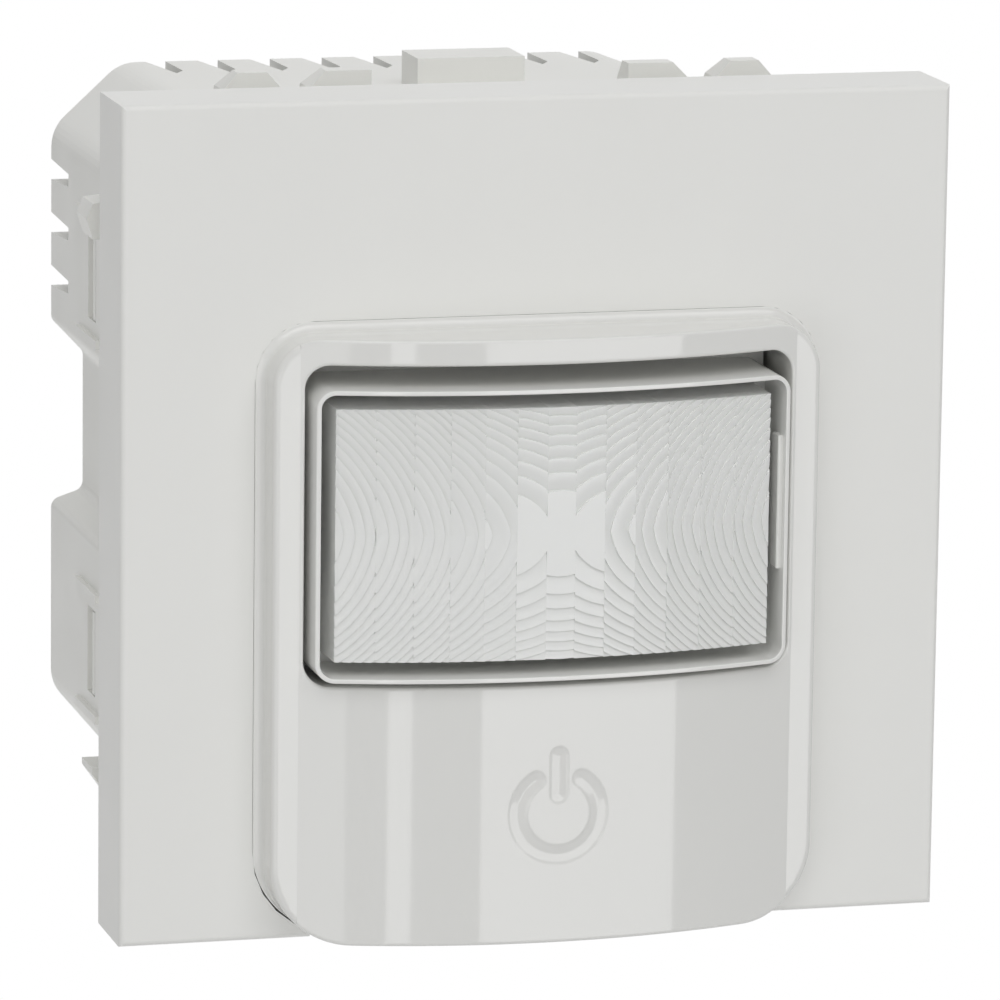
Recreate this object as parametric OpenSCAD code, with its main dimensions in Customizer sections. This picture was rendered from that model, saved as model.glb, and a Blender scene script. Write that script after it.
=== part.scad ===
// Flush motion sensor light switch for a square wiring device frame.
// X runs to the right, Y into the wall and Z up. Y = 0 is the back rim of the cover plate,
// which bears on the frame, and X = Z = 0 is the middle of the plate.

/* [Cover plate] */
// Width of the cover plate
plate_w = 45; // [44.6:0.1:46]
// Height of the cover plate
plate_h = 44.8; // [44.6:0.1:46]
// Depth of the cover plate from its front face to its back rim
plate_t = 5.4; // [5:0.1:6.4]
// Thickness of the plate's front wall
plate_wall = 1.6; // [1.3:0.1:1.9]
// Thickness of the plate's side walls
plate_skirt = 1.3; // [1:0.1:1.4]
// Radius of the plate's front edges
plate_edge = 0.3; // [0.1:0.05:0.6]

/* [Push button] */
// Width of the button beside the window
button_side = 1.62; // [1.5:0.02:1.9]
// Height of the button above the window
button_head = 1.35; // [1.2:0.05:1.8]
// Height of the button's bottom edge above the plate's
button_foot = 0.3; // [0.25:0.05:0.6]
// Rise of the curved front above the plate, at the middle
button_rise = 4.9; // [4.7:0.1:5.6]
// Rise of the side lands above the plate
land_rise = 2.3; // [2:0.05:2.4]
// Fall of the side lands towards their outer edges
land_fall = 0.04; // [0:0.02:0.3]
// Radius of the curved front
button_r = 38; // [37:0.5:46]
// Thickness of the button's walls
button_wall = 1.3; // [1:0.1:1.5]
// Gap between the button and the plate
button_gap = 0.1; // [0.08:0.01:0.3]
// Width of the flare at the foot of the button's walls
button_flare = 0.4; // [0.2:0.05:0.5]
// Gap between the window and the lens collar
window_gap = 0.38; // [0.3:0.02:0.5]
// Further gap above the lens collar
window_gap_top = 0.8; // [0.5:0.05:1]
// Angle that the button swings when pressed
press_angle = 1.2; // [0.8:0.1:1.3]

/* [Sensor optics] */
// Width of the lens
lens_w = 23.6; // [22.8:0.1:24]
// Height of the lens
lens_h = 13.45; // [13:0.05:13.6]
// Thickness of the lens
lens_wall = 0.9; // [0.7:0.05:1.1]
// Radius of the lens's front
lens_r = 45; // [42:0.5:50]
// Gap between the lens and the collar's base
lens_gap = 0.2; // [0.15:0.05:0.3]
// Columns of the lens to each side of the middle one
lens_columns = 6; // [3:1:6]
// Radius of the first ring of a column
ring_zone = 2.56; // [2.2:0.02:3.2]
// Depth of the rings cut in a column
ring_depth = 0.13; // [0.05:0.01:0.2]
// Thickness of the collar's wall
collar_wall = 0.24; // [0.2:0.02:0.5]
// Radius of the sensor can
can_r = 4.1; // [3.8:0.05:4.2]

/* [Chassis and housing] */
// Clearance between the chassis and the plate's side walls
chassis_fit = 0.3; // [0.2:0.05:0.4]
// Depth of the chassis
chassis_depth = 10.5; // [10.2:0.1:11]
// Thickness of the chassis walls
chassis_wall = 1.5; // [1.3:0.1:1.6]
// Step from the chassis in to the sides of the rear housing
housing_step = 0.7; // [0.6:0.05:0.9]
// Step from the chassis in to the top and bottom of the rear housing
housing_step_top = 0.3; // [0.2:0.05:0.5]
// Depth of the rear housing
housing_depth = 16.8; // [16.6:0.1:18]
// Thickness of the housing walls
housing_wall = 1.5; // [1.3:0.1:1.6]
// Reach of the frame hooks beyond the plate's edges
hook_out = 0.35; // [0.2:0.05:0.5]

/* [Vent comb] */
// Distance from slot to slot
comb_pitch = 2.98; // [2.8:0.02:3.04]
// Width of a slot
comb_slot = 1.14; // [0.9:0.02:1.3]
// Length of a slot from the back
comb_length = 4.7; // [4:0.1:5]
// Slots along the top
comb_top_slots = 9; // [5:1:9]
// Slots down each side
comb_side_slots = 3; // [1:1:3]

/* [Terminals] */
// Distance from terminal to terminal
terminal_pitch = 8; // [7.6:0.1:8]
// Radius of a wire entry
wire_r = 1.6; // [1.3:0.05:1.65]
// Radius of a terminal screw's shank
screw_r = 1.45; // [1.2:0.05:1.5]
// Travel of a clamp cage from open to closed
cage_travel = 1.8; // [1.2:0.1:1.8]

/* [Boards] */
// Thickness of the sensor board
sensor_board_t = 1.2; // [1:0.1:1.6]
// Thickness of the power board
power_board_t = 1.6; // [1.2:0.1:1.8]
// Radius of an adjuster dial
dial_r = 2.6; // [2.2:0.05:2.7]
// Distance of an adjuster dial from the middle
dial_x = 9; // [8:0.1:10]

/* [Hidden] */
$fn = 48;
fine = 180;
arc_steps = 6;
far = 60;
slip = 0.1;
running = 0.05;
play = 0.25;

// Sizes that follow from each other, from the lens outwards and from the plate inwards
collar_base_wall = 0.85;
collar_w = lens_w + 2 * (lens_gap + collar_base_wall);
collar_h = lens_h + 2 * (lens_gap + collar_base_wall);
window_w = collar_w + 2 * window_gap;
window_drop = collar_h / 2 + window_gap;
window_top = window_drop + window_gap_top;
button_w = window_w + 2 * button_side;
button_top = window_top + button_head;
button_drop = plate_h / 2 - button_foot;
chassis_w = plate_w - 2 * (plate_skirt + chassis_fit);
chassis_h = plate_h - 2 * (plate_skirt + chassis_fit);
housing_w = chassis_w - 2 * housing_step;
housing_h = chassis_h - 2 * housing_step_top;
hook_side = plate_w / 2 + hook_out;
hook_top = plate_h / 2 + hook_out;

// Depths, from the front of the plate backwards
plate_front = -plate_t;
plate_inside = plate_front + plate_wall;
plate_gap = 0.3;
chassis_front = plate_inside + plate_gap;
chassis_inside = chassis_front + chassis_wall;
board_standoff = 3;
board_front = chassis_inside + board_standoff;
board_back = board_front + sensor_board_t;
chassis_back = chassis_front + chassis_depth;
housing_back = chassis_back + housing_depth;
housing_inside = housing_back - housing_wall;
terminal_room = 7.1;
power_back = housing_inside - terminal_room;
power_front = power_back - power_board_t;

// Button
apex_y = plate_front - button_rise;
land_y = plate_front - land_rise;
pivot_y = chassis_inside + 0.1;
pivot_z = window_top - 1.4;
press_room = (pivot_z + button_drop) * tan(press_angle) + 0.18;
skirt_back = chassis_front - press_room;
button_front_limit = apex_y - 0.2;
flare_h = 0.35;
button_top_r = 2.6;
button_bottom_r = 4.1;
crest_half = window_w / 2 + 0.24;
window_r = 1.3;
arm_t = 1.3;
arm_half = 1.3;
arm_in = 0.35;
arm_x = button_w / 2 - arm_in;
trunnion_r = 0.9;
trunnion_l = 1.6;
ear_x = arm_x + play;
ear_t = 1.7;
ear_half = 1.9;
lip_t = 0.9;
notch_back = chassis_front + 1.3;
lip_back = notch_back - press_room;
mouth = button_w / 2 - 2.7;
catch_up = 5.1;
catch_z = -button_drop + catch_up;
catch_half = 1.5;
catch_t = 1;
catch_x = button_w / 2 - 1.65;
catch_nib = 1;

// Actuator and key switch
post_z = -(window_drop + button_drop) / 2;
post_r = 1;
plunger_r = 1.7;
plunger_front = chassis_front - 0.45;
post_gap = 0.15;
tact_w = 6;
tact_front = chassis_inside + 0.3;
plunger_seat = 0.8;
plunger_bore = 1.5;

// Collar and lens
collar_r = button_r + 4;
collar_proud = 0.63;
collar_apex = apex_y - collar_proud;
collar_corner = 1;
collar_base_h = 1.5;
collar_side_y = collar_apex + collar_r - sqrt(collar_r * collar_r - collar_w * collar_w / 4);
clip_front = collar_side_y + 0.46;
clip_in = 0.5;
clip_back = land_y + 0.4;
clip_low = -2.8;
clip_high = 4.4;
lens_apex = apex_y - 0.05;
column_growth = 0.0442;
column_slit = 0.05;
column_root = 0.45;
column_over = 0.5;
lens_core = 0.25;
ring_middle = 0.67;
ring_start = 1.34;
ring_shift = 6.2;
ring_reach = 9;
lens_flange = 0.35;
lens_flange_t = 0.55;

// Sensor can and its neighbours
can_h = 4.2;
can_flange_r = can_r + 0.55;
can_flange_t = 0.6;
filter_w = 3;
filter_h = 4;
filter_t = 0.3;
lead_r = 0.22;
lead_circle = 2.54;
lead_out = 1;
led_r = 1.5;
led_rim = 1.85;
led_rim_t = 0.9;
led_straight = 2.2;
led_x = 7.6;

// Adjusters
dial_down = 6.8;
dial_z = plate_h / 2 - dial_down;
trimmer_w = 6.4;
trimmer_front = chassis_inside + 0.5;
dial_front = chassis_front - 0.1;
dial_back = trimmer_front - slip;
dial_shaft_r = 0.9;
dial_shaft_l = 1;
dial_slot_w = 0.8;
dial_slot_d = 0.7;

// Chassis
chassis_corner = 1.5;
optics_w = lens_w - 1.2;
optics_h = lens_h - 1.2;
hook_y = 3.1;
hook_l = chassis_back - hook_y - 0.2;
tab_half = 1.6;
tab_x = 13.6;
block_in = 7.1;
block_out = 10.5;
side_hook_down = 6.5;
side_hook_z = chassis_h / 2 - side_hook_down;
side_hook_root = 2.2;
side_hook_break = 0.86;
side_hook_nose = 0.35;
side_hook_y = 1.7;
side_hook_l = 2.6;
low_hook_root = 2.6;
low_hook_in = 0.35;
post_at = [chassis_w / 2 - 3.6, chassis_h / 2 - 3.5];
stake_post_r = 1.3;
stake_r = 0.6;
stake_out = 0.6;
lug_half = 3;
lug_h = 0.35;
lug_y = -1.6;
lug_t = 0.8;
lug_z = 6;
latch_down = 10.1;
latch_z = housing_h / 2 - latch_down;
latch_half = 2.3;
latch_t = 1.3;
latch_l = 6.5;
latch_tip = chassis_back + latch_l;
latch_nib_in = 1.6;
latch_nib_y = latch_tip - latch_nib_in;
latch_nib_t = 1.8;
latch_x = housing_w / 2 - housing_wall - 0.2;

// Rear housing
half_w = housing_w / 2;
half_h = housing_h / 2;
corner_x = 3.9;
corner_z = 3.6;
long_corner_x = 9.3;
long_corner_z = 3.5;
terminal_edge = 3.2;
terminal_count = 4;
low_corner_x = half_w - (terminal_count - 1) * terminal_pitch / 2 - terminal_edge;
low_corner_z = 5.9;
groove_depth = 1.8;
groove_down = 14.3;
groove_up = 16.4;
groove_high = half_h - groove_down;
groove_low = groove_up - half_h;
groove_slope = 1.9;
groove_shelf = 0.6;
outline_r = 2.3;
groove_r = 0.6;
comb_top_in = 6.46;
comb_top_x = comb_top_in - half_w;
comb_side_down = 5.3;
comb_side_z = half_h - comb_side_down;
comb_depth = housing_wall + 0.5;
comb_top_lead = 0.38;
comb_top_spread = 0.17;
comb_top_short = 1;
comb_side_lead = 0.15;
comb_side_rise = 0.28;
key_half = 3;
key_in = 2.2;
key_y = chassis_back + key_in;
key_l = 3.5;
key_top = plate_h / 2;
rib_h = 0.3;
rib_t = 0.45;
rib_l = 5.5;
rib_in = 3.4;
rib_y = chassis_back + rib_in;
rib_off = 0.85;
rib_zs = [latch_z - latch_half - rib_off - rib_t, latch_z + latch_half + rib_off];
boss_r = 1.6;
boss_in = [7.7, 5.7];
boss_at = [half_w - boss_in.x, half_h - boss_in.y];
rib_between = 1;

// Terminals, from the screw's head in the bottom wall upwards
screw_head_r = 2.5;
screw_head_h = 1.4;
screw_head_in = 0.2;
screw_head_z = screw_head_in - half_h;
cage_clear = 0.5;
cage_w = 5;
cage_l = 5.2;
cage_h = 7.6;
cage_bottom = screw_head_z + screw_head_h + cage_travel + cage_clear;
cage_top = cage_bottom + cage_h;
rib_above = 1;
rib_top = cage_top + rib_above;
cage_roof = 0.8;
cage_floor = 1.2;
cage_side = 0.7;
cage_y = (power_back + housing_inside) / 2;
tongue_up = 2.4;
tongue_z = cage_bottom + tongue_up;
tongue_t = 0.8;
tongue_w = 3;
tongue_tail_w = 1.2;
tongue_tail_out = 0.7;
wire_z = (tongue_z + tongue_t + cage_top - cage_roof) / 2;
screw_slot = 0.8;
screw_slot_d = 0.7;

// Power board and what stands on it, each place given by its middle
screw_shank_r = 0.9;
screw_shank_l = 5;
board_screw_head_r = 1.7;
board_screw_head_h = 1.2;
board_screw_cross = [1.1, 0.25];
board_margin = [3.8, 3.1];
power_half_w = half_w - board_margin.x;
power_half_h = half_h - board_margin.y;
board_room = power_front - board_back;
power_corner = 4;
pin_count = 6;
pin_pitch = 2.54;
pin_w = 0.64;
pin_z = 10.2;
header_h = 2.5;
header_gap = 0.5;
socket_h = board_room - header_h - header_gap;
pin_free = 3;
pin_reach = socket_h - pin_free;
tall_gap = 2.4;
relay_at = [6, -8.2];
relay_size = [18, 9.4];
relay_h = board_room - tall_gap;
film_at = [-8.7, 5.4];
film_size = [13, 6];
film_h = board_room - tall_gap;
can_cap_r = 4;
can_cap_l = 11.5;
can_cap_at = [9, 0.9];
can_cap_groove = [1.8, 0.8, 0.5];
varistor_at = [-12.6, -3.6];
varistor_r = 4.3;
varistor_rim = 0.9;
varistor_t = 4;
fuse_at = [-7.2, -3.4];
fuse_size = [4.3, 8.4];
fuse_h = 7.5;
choke_at = [11.4, 8.4];
choke_r = 3;
choke_winding_r = 2.4;
choke_flange = 1.2;
choke_h = board_room - tall_gap - header_gap * 2;
rectifier_at = [-8, -13.4];
rectifier_size = [5.6, 5.6];
rectifier_h = 3;
case_r = 0.5;
chip_z = -9;
chip_half_l = 3.9;
chip_half_b = 2;
chip_t = 1.5;
chip_lift = 0.1;
leg_w = 0.4;
leg_t = 0.2;
leg_out = 1;
leg_pitch = 1.27;

// Outlines in the plane of the plate
function unit(v) = v / norm(v);

// Points of the arc of radius r that rounds corner b between its neighbours a and c
function corner_arc(a, b, c, r) =
    let (u = unit(a - b), v = unit(c - b), half = acos(u * v) / 2)
    let (o = b + unit(u + v) * r / sin(half), s = b + u * r / tan(half) - o, e = b + v * r / tan(half) - o)
    let (start = atan2(s.y, s.x), turn = atan2(cross(s, e), s * e))
    [for (i = [0:arc_steps]) o + r * [cos(start + turn * i / arc_steps), sin(start + turn * i / arc_steps)]];

// Polygon with each corner rounded by its own radius, or left sharp at 0
function rounded(points, radii) =
    let (n = len(points))
    [for (i = [0:n - 1]) each radii[i] == 0 ? [points[i]]
        : corner_arc(points[(i + n - 1) % n], points[i], points[(i + 1) % n], radii[i])];

function rectangle(x0, x1, z0, z1) = [[x0, z0], [x1, z0], [x1, z1], [x0, z1]];

function terminal_x(i) = (i - (terminal_count + 1) / 2) * terminal_pitch;

// Outline of the button, let out by grow at the top and sides and by drop at the bottom
function button_points(grow, drop) =
    let (w = button_w / 2 + grow, low_r = button_bottom_r + grow, top_r = button_top_r + grow)
    rounded(rectangle(-w, w, -button_drop - drop, button_top + grow), [low_r, low_r, top_r, top_r]);

// Outline of the rear housing, drawn in by inset all round
function housing_points(inset) =
    let (w = half_w - inset, h = half_h - inset, g = groove_depth, bevel = inset * 0.41)
    rounded([[-w + low_corner_x - bevel, -h], [w - low_corner_x + bevel, -h], [w, -h + low_corner_z - bevel],
        [w, groove_low - bevel], [w - g, groove_low + groove_shelf - bevel],
        [w - g, groove_high - groove_slope + bevel], [w, groove_high + bevel],
        [w, h - long_corner_z + bevel], [w - long_corner_x + bevel, h],
        [-w + corner_x - bevel, h], [-w, h - corner_z + bevel],
        [-w, groove_high + bevel], [-w + g, groove_high - groove_slope + bevel],
        [-w + g, groove_low + groove_shelf - bevel], [-w, groove_low - bevel],
        [-w, -h + low_corner_z - bevel]],
        [outline_r, outline_r, outline_r, groove_r, groove_r, groove_r, groove_r, outline_r, outline_r,
        outline_r, outline_r, groove_r, groove_r, groove_r, groove_r, outline_r]);

// Building shapes
module along_y(y0, y1)
    translate([0, y1, 0])
    rotate([90, 0, 0])
    linear_extrude(y1 - y0)
    children();

module slab(x0, x1, y0, y1, z0, z1)
    translate([x0, y0, z0])
    cube([x1 - x0, y1 - y0, z1 - z0]);

module rod_x(r, x0, x1, y, z)
    translate([x0, y, z])
    rotate([0, 90, 0])
    cylinder(r = r, h = x1 - x0);

module rod_y(r, y0, y1, x, z)
    translate([x, y1, z])
    rotate([90, 0, 0])
    cylinder(r = r, h = y1 - y0);

module rod_z(r, z0, z1, x, y)
    translate([x, y, z0])
    cylinder(r = r, h = z1 - z0);

module both_sides() {
    children();
    mirror([1, 0, 0]) children();
}

module top_and_bottom() {
    children();
    mirror([0, 0, 1]) children();
}

// Upright cylinder whose front line lies at depth y
module barrel(r, y)
    translate([0, y + r, -far / 2])
    cylinder(r = r, h = far, $fn = fine);

// Front pieces
module plate_block()
    intersection() {
        translate([0, 0, -plate_h / 2])
            linear_extrude(plate_h)
            polygon(rounded(rectangle(-plate_w / 2, plate_w / 2, plate_front, 0),
                [plate_edge, plate_edge, 0, 0]));
        translate([-plate_w / 2, 0, 0])
            rotate([90, 0, 90])
            linear_extrude(plate_w)
            polygon(rounded(rectangle(plate_front, 0, -plate_h / 2, plate_h / 2),
                [plate_edge, 0, 0, plate_edge]));
    }

// Opening in the plate for the flared foot of the button
module notch()
    along_y(-far, notch_back)
    polygon(button_points(button_flare + button_gap, button_gap));

// Foot of the button, which widens from the walls to fill the plate's notch
module button_foot_flare()
    hull() {
        along_y(plate_front - flare_h, plate_front) polygon(button_points(0, -running));
        along_y(plate_front, skirt_back - running) polygon(button_points(button_flare, -running));
    }

module cover_plate() {
    inner_w = plate_w / 2 - plate_skirt;
    inner_h = plate_h / 2 - plate_skirt;
    color("whitesmoke") {
        difference() {
            plate_block();
            slab(-inner_w, inner_w, plate_inside, far, -inner_h, inner_h);
            notch();
            slab(-mouth, mouth, -far, notch_back, -far, -button_drop + button_bottom_r);
        }
        both_sides()
            top_and_bottom()
            slab(inner_w - lug_h, inner_w, lug_y, lug_y + lug_t, lug_z - lug_half, lug_z + lug_half);
    }
}

// Space behind the button's front: the falling side lands and the bow between them
module button_front() {
    fallen = land_y + land_fall;
    translate([0, 0, -far / 2])
        linear_extrude(far)
        polygon([[-far, far], [-far, fallen], [-button_w / 2, fallen], [-crest_half, land_y],
            [crest_half, land_y], [button_w / 2, fallen], [far, fallen], [far, far]]);
    intersection() {
        slab(-crest_half, crest_half, -far, far, -far, far);
        barrel(button_r, apex_y);
    }
}

module button_shell() {
    difference() {
        union() {
            intersection() {
                along_y(button_front_limit, skirt_back) polygon(button_points(0, 0));
                button_front();
            }
            button_foot_flare();
        }
        along_y(-far, far)
            polygon(rounded(rectangle(-window_w / 2, window_w / 2, -window_drop, window_top),
                [window_r, window_r, window_r, window_r]));
        intersection() {
            slab(-crest_half + button_wall, crest_half - button_wall, -far, far, -button_drop + button_wall,
                -window_drop - button_wall);
            barrel(button_r - button_wall, apex_y + button_wall);
        }
    }
}

module push_button()
    color("whitesmoke") {
        button_shell();
        rod_y(post_r, apex_y + button_wall, plunger_front - post_gap, 0, post_z);
        slab(-crest_half, crest_half, apex_y + 2 * button_wall + 0.6, skirt_back - 0.6,
            post_z - post_r / 2, post_z + post_r / 2);
        slab(-mouth + play, mouth - play, skirt_back - button_wall, lip_back, -button_drop,
            -button_drop + lip_t);
        both_sides() {
            slab(arm_x - arm_t, arm_x, skirt_back - button_wall, pivot_y + arm_half, pivot_z - arm_half,
                pivot_z + arm_half);
            rod_x(trunnion_r, arm_x - arm_t / 2, arm_x + trunnion_l, pivot_y, pivot_z);
            slab(catch_x, catch_x + catch_t, skirt_back - button_wall, chassis_inside + slip + catch_nib,
                catch_z - catch_half, catch_z + catch_half);
            slab(catch_x - catch_nib, catch_x + catch_t / 2, chassis_inside + slip,
                chassis_inside + slip + catch_nib, catch_z - catch_half, catch_z + catch_half);
        }
    }

module lens_collar() {
    w = collar_w / 2;
    h = collar_h / 2;
    r = collar_corner;
    inner_r = collar_corner - collar_wall;
    color("whitesmoke") {
        intersection() {
            barrel(collar_r, collar_apex);
            difference() {
                along_y(collar_apex - slip, chassis_front)
                    polygon(rounded(rectangle(-w, w, -h, h), [r, r, r, r]));
                along_y(-far, chassis_front - collar_base_h)
                    polygon(rounded(rectangle(-w + collar_wall, w - collar_wall, -h + collar_wall,
                        h - collar_wall), [inner_r, inner_r, inner_r, inner_r]));
                slab(-w + collar_base_wall, w - collar_base_wall, -far, far, -h + collar_base_wall,
                    h - collar_base_wall);
            }
        }
        both_sides()
            slab(w - clip_in, w - collar_wall / 2, clip_front, clip_back, clip_low, clip_high);
    }
}

// Edge of a lens column, counted from the middle: the columns widen evenly towards the sides
function column_edge(k) =
    let (half = lens_columns + 0.5)
    k * (lens_w / 2 - column_growth * half * half) / half + column_growth * k * abs(k);

function ring_radius(n) = ring_zone * sqrt(n + ring_start);

// Saw-toothed section of the rings numbered first to last: each rises outwards and then steps back
function ring_section(first, last) =
    concat([[0, -column_root], [ring_radius(last), -column_root]],
        [for (n = [last:-1:first + 1]) each [[ring_radius(n), 0], [ring_radius(n - 1), -ring_depth]]],
        [[ring_radius(first), 0], [0, 0]]);

// Upper half of a column with its rings, which are centred below the middle
module column_half(half, tall, shift, first, last)
    intersection() {
        slab(-half, half, -far, far, 0, tall);
        translate([shift, 0, -ring_middle])
            rotate([90, 0, 0])
            rotate_extrude($fn = fine)
            polygon(ring_section(first, last));
    }

// One flat column on the bowed front, its rings centred further out than the column itself
module lens_column(i) {
    x = (column_edge(i - 0.5) + column_edge(i + 0.5)) / 2;
    tilt = asin(x / lens_r);
    half = (column_edge(i + 0.5) - column_edge(i - 0.5)) / 2 / cos(tilt) - column_slit / 2;
    shift = ring_shift * sin(90 * x / ring_reach);
    tall = lens_h / 2 + column_over;
    near = max(0, abs(shift) - half);
    first = max(0, floor(near * near / ring_zone / ring_zone - ring_start));
    span = norm([abs(shift) + half, tall + ring_middle]);
    last = ceil(span * span / ring_zone / ring_zone - ring_start);
    translate([x, lens_apex + lens_r - sqrt(lens_r * lens_r - x * x), 0])
        rotate([0, 0, tilt]) {
            column_half(half, tall, shift, first, last);
            mirror([0, 0, 1])
                column_half(half, tall, shift, first, last);
        }
}

module fresnel_lens() {
    seat = chassis_front + lens_flange_t;
    flange_w = lens_w / 2 + lens_flange;
    flange_h = lens_h / 2 + lens_flange;
    color("white")
        difference() {
            union() {
                intersection() {
                    union() {
                        barrel(lens_r - lens_core, lens_apex + lens_core);
                        for (i = [-lens_columns:lens_columns]) lens_column(i);
                    }
                    slab(-lens_w / 2, lens_w / 2, -far, seat, -lens_h / 2, lens_h / 2);
                }
                slab(-flange_w, flange_w, chassis_front + slip / 2, seat, -flange_h, flange_h);
            }
            intersection() {
                barrel(lens_r - lens_wall, lens_apex + lens_wall);
                slab(lens_wall - lens_w / 2, lens_w / 2 - lens_wall, -far, far, lens_wall - lens_h / 2,
                    lens_h / 2 - lens_wall);
            }
        }
}

// Chassis
module frame_hooks() {
    ramp = [[hook_y, 0], [hook_y, 1], [hook_y + hook_l / 3, 1], [hook_y + hook_l, 0]];
    base = chassis_h / 2 - chassis_wall / 2;
    rise = hook_top - base;
    both_sides()
        top_and_bottom() {
            intersection() {
                translate([0, 0, base])
                    rotate([90, 0, 90])
                    linear_extrude(far)
                    polygon([for (p = ramp) [p.x, p.y * rise]]);
                along_y(0, far)
                    polygon([[tab_x - tab_half, 0], [tab_x - tab_half, hook_top - 0.9],
                        [tab_x - tab_half / 2, hook_top], [tab_x + tab_half / 2, hook_top],
                        [tab_x + tab_half, hook_top - 0.9], [tab_x + tab_half, 0]]);
            }
            intersection() {
                translate([0, 0, base])
                    rotate([90, 0, 90])
                    linear_extrude(far)
                    polygon([for (p = ramp) [p.x, p.y * rise]]);
                along_y(0, far)
                    polygon([[block_in, 0], [block_in, hook_top], [block_out - 0.9, hook_top],
                        [block_out, hook_top - 0.9], [block_out, 0]]);
            }
        }
}

// Barbs on the sides, flat towards the middle and sloping away from it
module side_hooks() {
    base = chassis_w / 2 - chassis_wall / 2;
    low_tip = hook_side - low_hook_in;
    top_break = [hook_side - side_hook_nose, side_hook_root * side_hook_break];
    both_sides()
        along_y(side_hook_y, side_hook_y + side_hook_l) {
            translate([0, side_hook_z])
                polygon([[base, 0], [hook_side - side_hook_nose, 0], [hook_side, side_hook_root / 2],
                    top_break, [base, side_hook_root]]);
            translate([0, -side_hook_z])
                polygon([[base, 0], [low_tip, 0], [low_tip, -side_hook_nose],
                    [chassis_w / 2, -low_hook_root], [base, -low_hook_root]]);
        }
}

module latch_arms() {
    root = chassis_back - 2;
    both_sides()
        top_and_bottom() {
            slab(latch_x - latch_t, chassis_w / 2 - chassis_wall / 2, root, chassis_back,
                latch_z - latch_half, latch_z + latch_half);
            slab(latch_x - latch_t, latch_x, root, latch_tip, latch_z - latch_half, latch_z + latch_half);
            translate([0, 0, latch_z - latch_half])
                linear_extrude(2 * latch_half)
                polygon([[latch_x - latch_t / 2, latch_nib_y], [half_w, latch_nib_y],
                    [half_w, latch_nib_y + latch_nib_t / 3],
                    [latch_x - latch_t / 2, latch_nib_y + latch_nib_t]]);
        }
}

module chassis_shell() {
    w = chassis_w / 2;
    h = chassis_h / 2;
    r = chassis_corner;
    inner_r = 0.5;
    inset = chassis_wall;
    groove = lug_h + slip;
    seat_w = lens_w / 2 + lens_flange + slip;
    seat_h = lens_h / 2 + lens_flange + slip;
    difference() {
        along_y(chassis_front, chassis_back) polygon(rounded(rectangle(-w, w, -h, h), [r, r, r, r]));
        along_y(chassis_inside, far)
            polygon(rounded(rectangle(-w + inset, w - inset, -h + inset, h - inset),
                [inner_r, inner_r, inner_r, inner_r]));
        along_y(-far, far)
            polygon(rounded(rectangle(-optics_w / 2, optics_w / 2, -optics_h / 2, optics_h / 2),
                [r, r, r, r]));
        slab(-seat_w, seat_w, -far, chassis_front + lens_flange_t, -seat_h, seat_h);
        rod_y(plunger_r + 0.7, -far, far, 0, post_z);
        both_sides() {
            rod_y(dial_r + 0.3, -far, far, dial_x, dial_z);
            slab(arm_x - arm_t - play, ear_x, -far, far, pivot_z - arm_half - play,
                pivot_z + arm_half + play);
            slab(catch_x - play, catch_x + catch_t + play, -far, far, catch_z - catch_half - play,
                catch_z + catch_half + play);
            top_and_bottom()
                slab(w - groove, far, lug_y - slip, lug_y + lug_t + slip, lug_z - lug_half - slip,
                    lug_z + lug_half + slip);
        }
    }
}

module chassis()
    color("gainsboro") {
        difference() {
            union() {
                chassis_shell();
                both_sides()
                    slab(ear_x, ear_x + ear_t, chassis_front, pivot_y + ear_half, pivot_z - ear_half,
                        pivot_z + ear_half);
            }
            both_sides()
                rod_x(trunnion_r + running, ear_x - slip, ear_x + ear_t + slip, pivot_y, pivot_z);
        }
        frame_hooks();
        side_hooks();
        latch_arms();
        both_sides()
            top_and_bottom() {
                rod_y(stake_post_r, chassis_inside - slip, board_front, post_at.x, post_at.y);
                rod_y(stake_r, board_front - slip, board_back + stake_out, post_at.x, post_at.y);
            }
    }

// Sensor board and what it carries
module sensor_board() {
    w = chassis_w / 2 - chassis_wall - 0.3;
    h = chassis_h / 2 - chassis_wall - 0.3;
    r = chassis_corner;
    hole = pin_w / 2 + running;
    color("seagreen")
        difference() {
            along_y(board_front, board_back) polygon(rounded(rectangle(-w, w, -h, h), [r, r, r, r]));
            both_sides() {
                top_and_bottom() rod_y(stake_r + running, 0, far, post_at.x, post_at.y);
                top_and_bottom()
                    slab(latch_x - latch_t - 2 * play, far, 0, far, latch_z - latch_half - 2 * play,
                        latch_z + latch_half + 2 * play);
            }
            for (a = [90, 210, 330])
                rod_y(lead_r + running, 0, far, lead_circle * cos(a), lead_circle * sin(a));
            for (i = [1:pin_count])
                slab(pin_x(i) - hole, pin_x(i) + hole, 0, far, pin_z - hole, pin_z + hole);
        }
}

function pin_x(i) = (i - (pin_count + 1) / 2) * pin_pitch;

// Metal can with its rim and three leads, and a window recess in its front
module pir_can() {
    front = board_front - can_h;
    color("silver")
        difference() {
            union() {
                rod_y(can_r, front, board_front, 0, 0);
                rod_y(can_flange_r, board_front - can_flange_t, board_front, 0, 0);
                for (a = [90, 210, 330])
                    rod_y(lead_r, board_front - slip, board_back + lead_out, lead_circle * cos(a),
                        lead_circle * sin(a));
            }
            slab(-filter_w / 2, filter_w / 2, -far, front + filter_t, -filter_h / 2, filter_h / 2);
        }
}

module pir_window() {
    front = board_front - can_h;
    color("dimgray")
        slab(-filter_w / 2, filter_w / 2, front, front + filter_t, -filter_h / 2, filter_h / 2);
}

// Small round component with a rim, a straight body and a domed front
module domed_body(x) {
    rod_y(led_rim, board_front - led_rim_t, board_front, x, 0);
    rod_y(led_r, board_front - led_straight, board_front, x, 0);
    translate([x, board_front - led_straight, 0]) sphere(r = led_r);
}

module light_sensor()
    color("lightcyan") domed_body(led_x);

module status_led()
    color("tomato") domed_body(-led_x);

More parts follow.
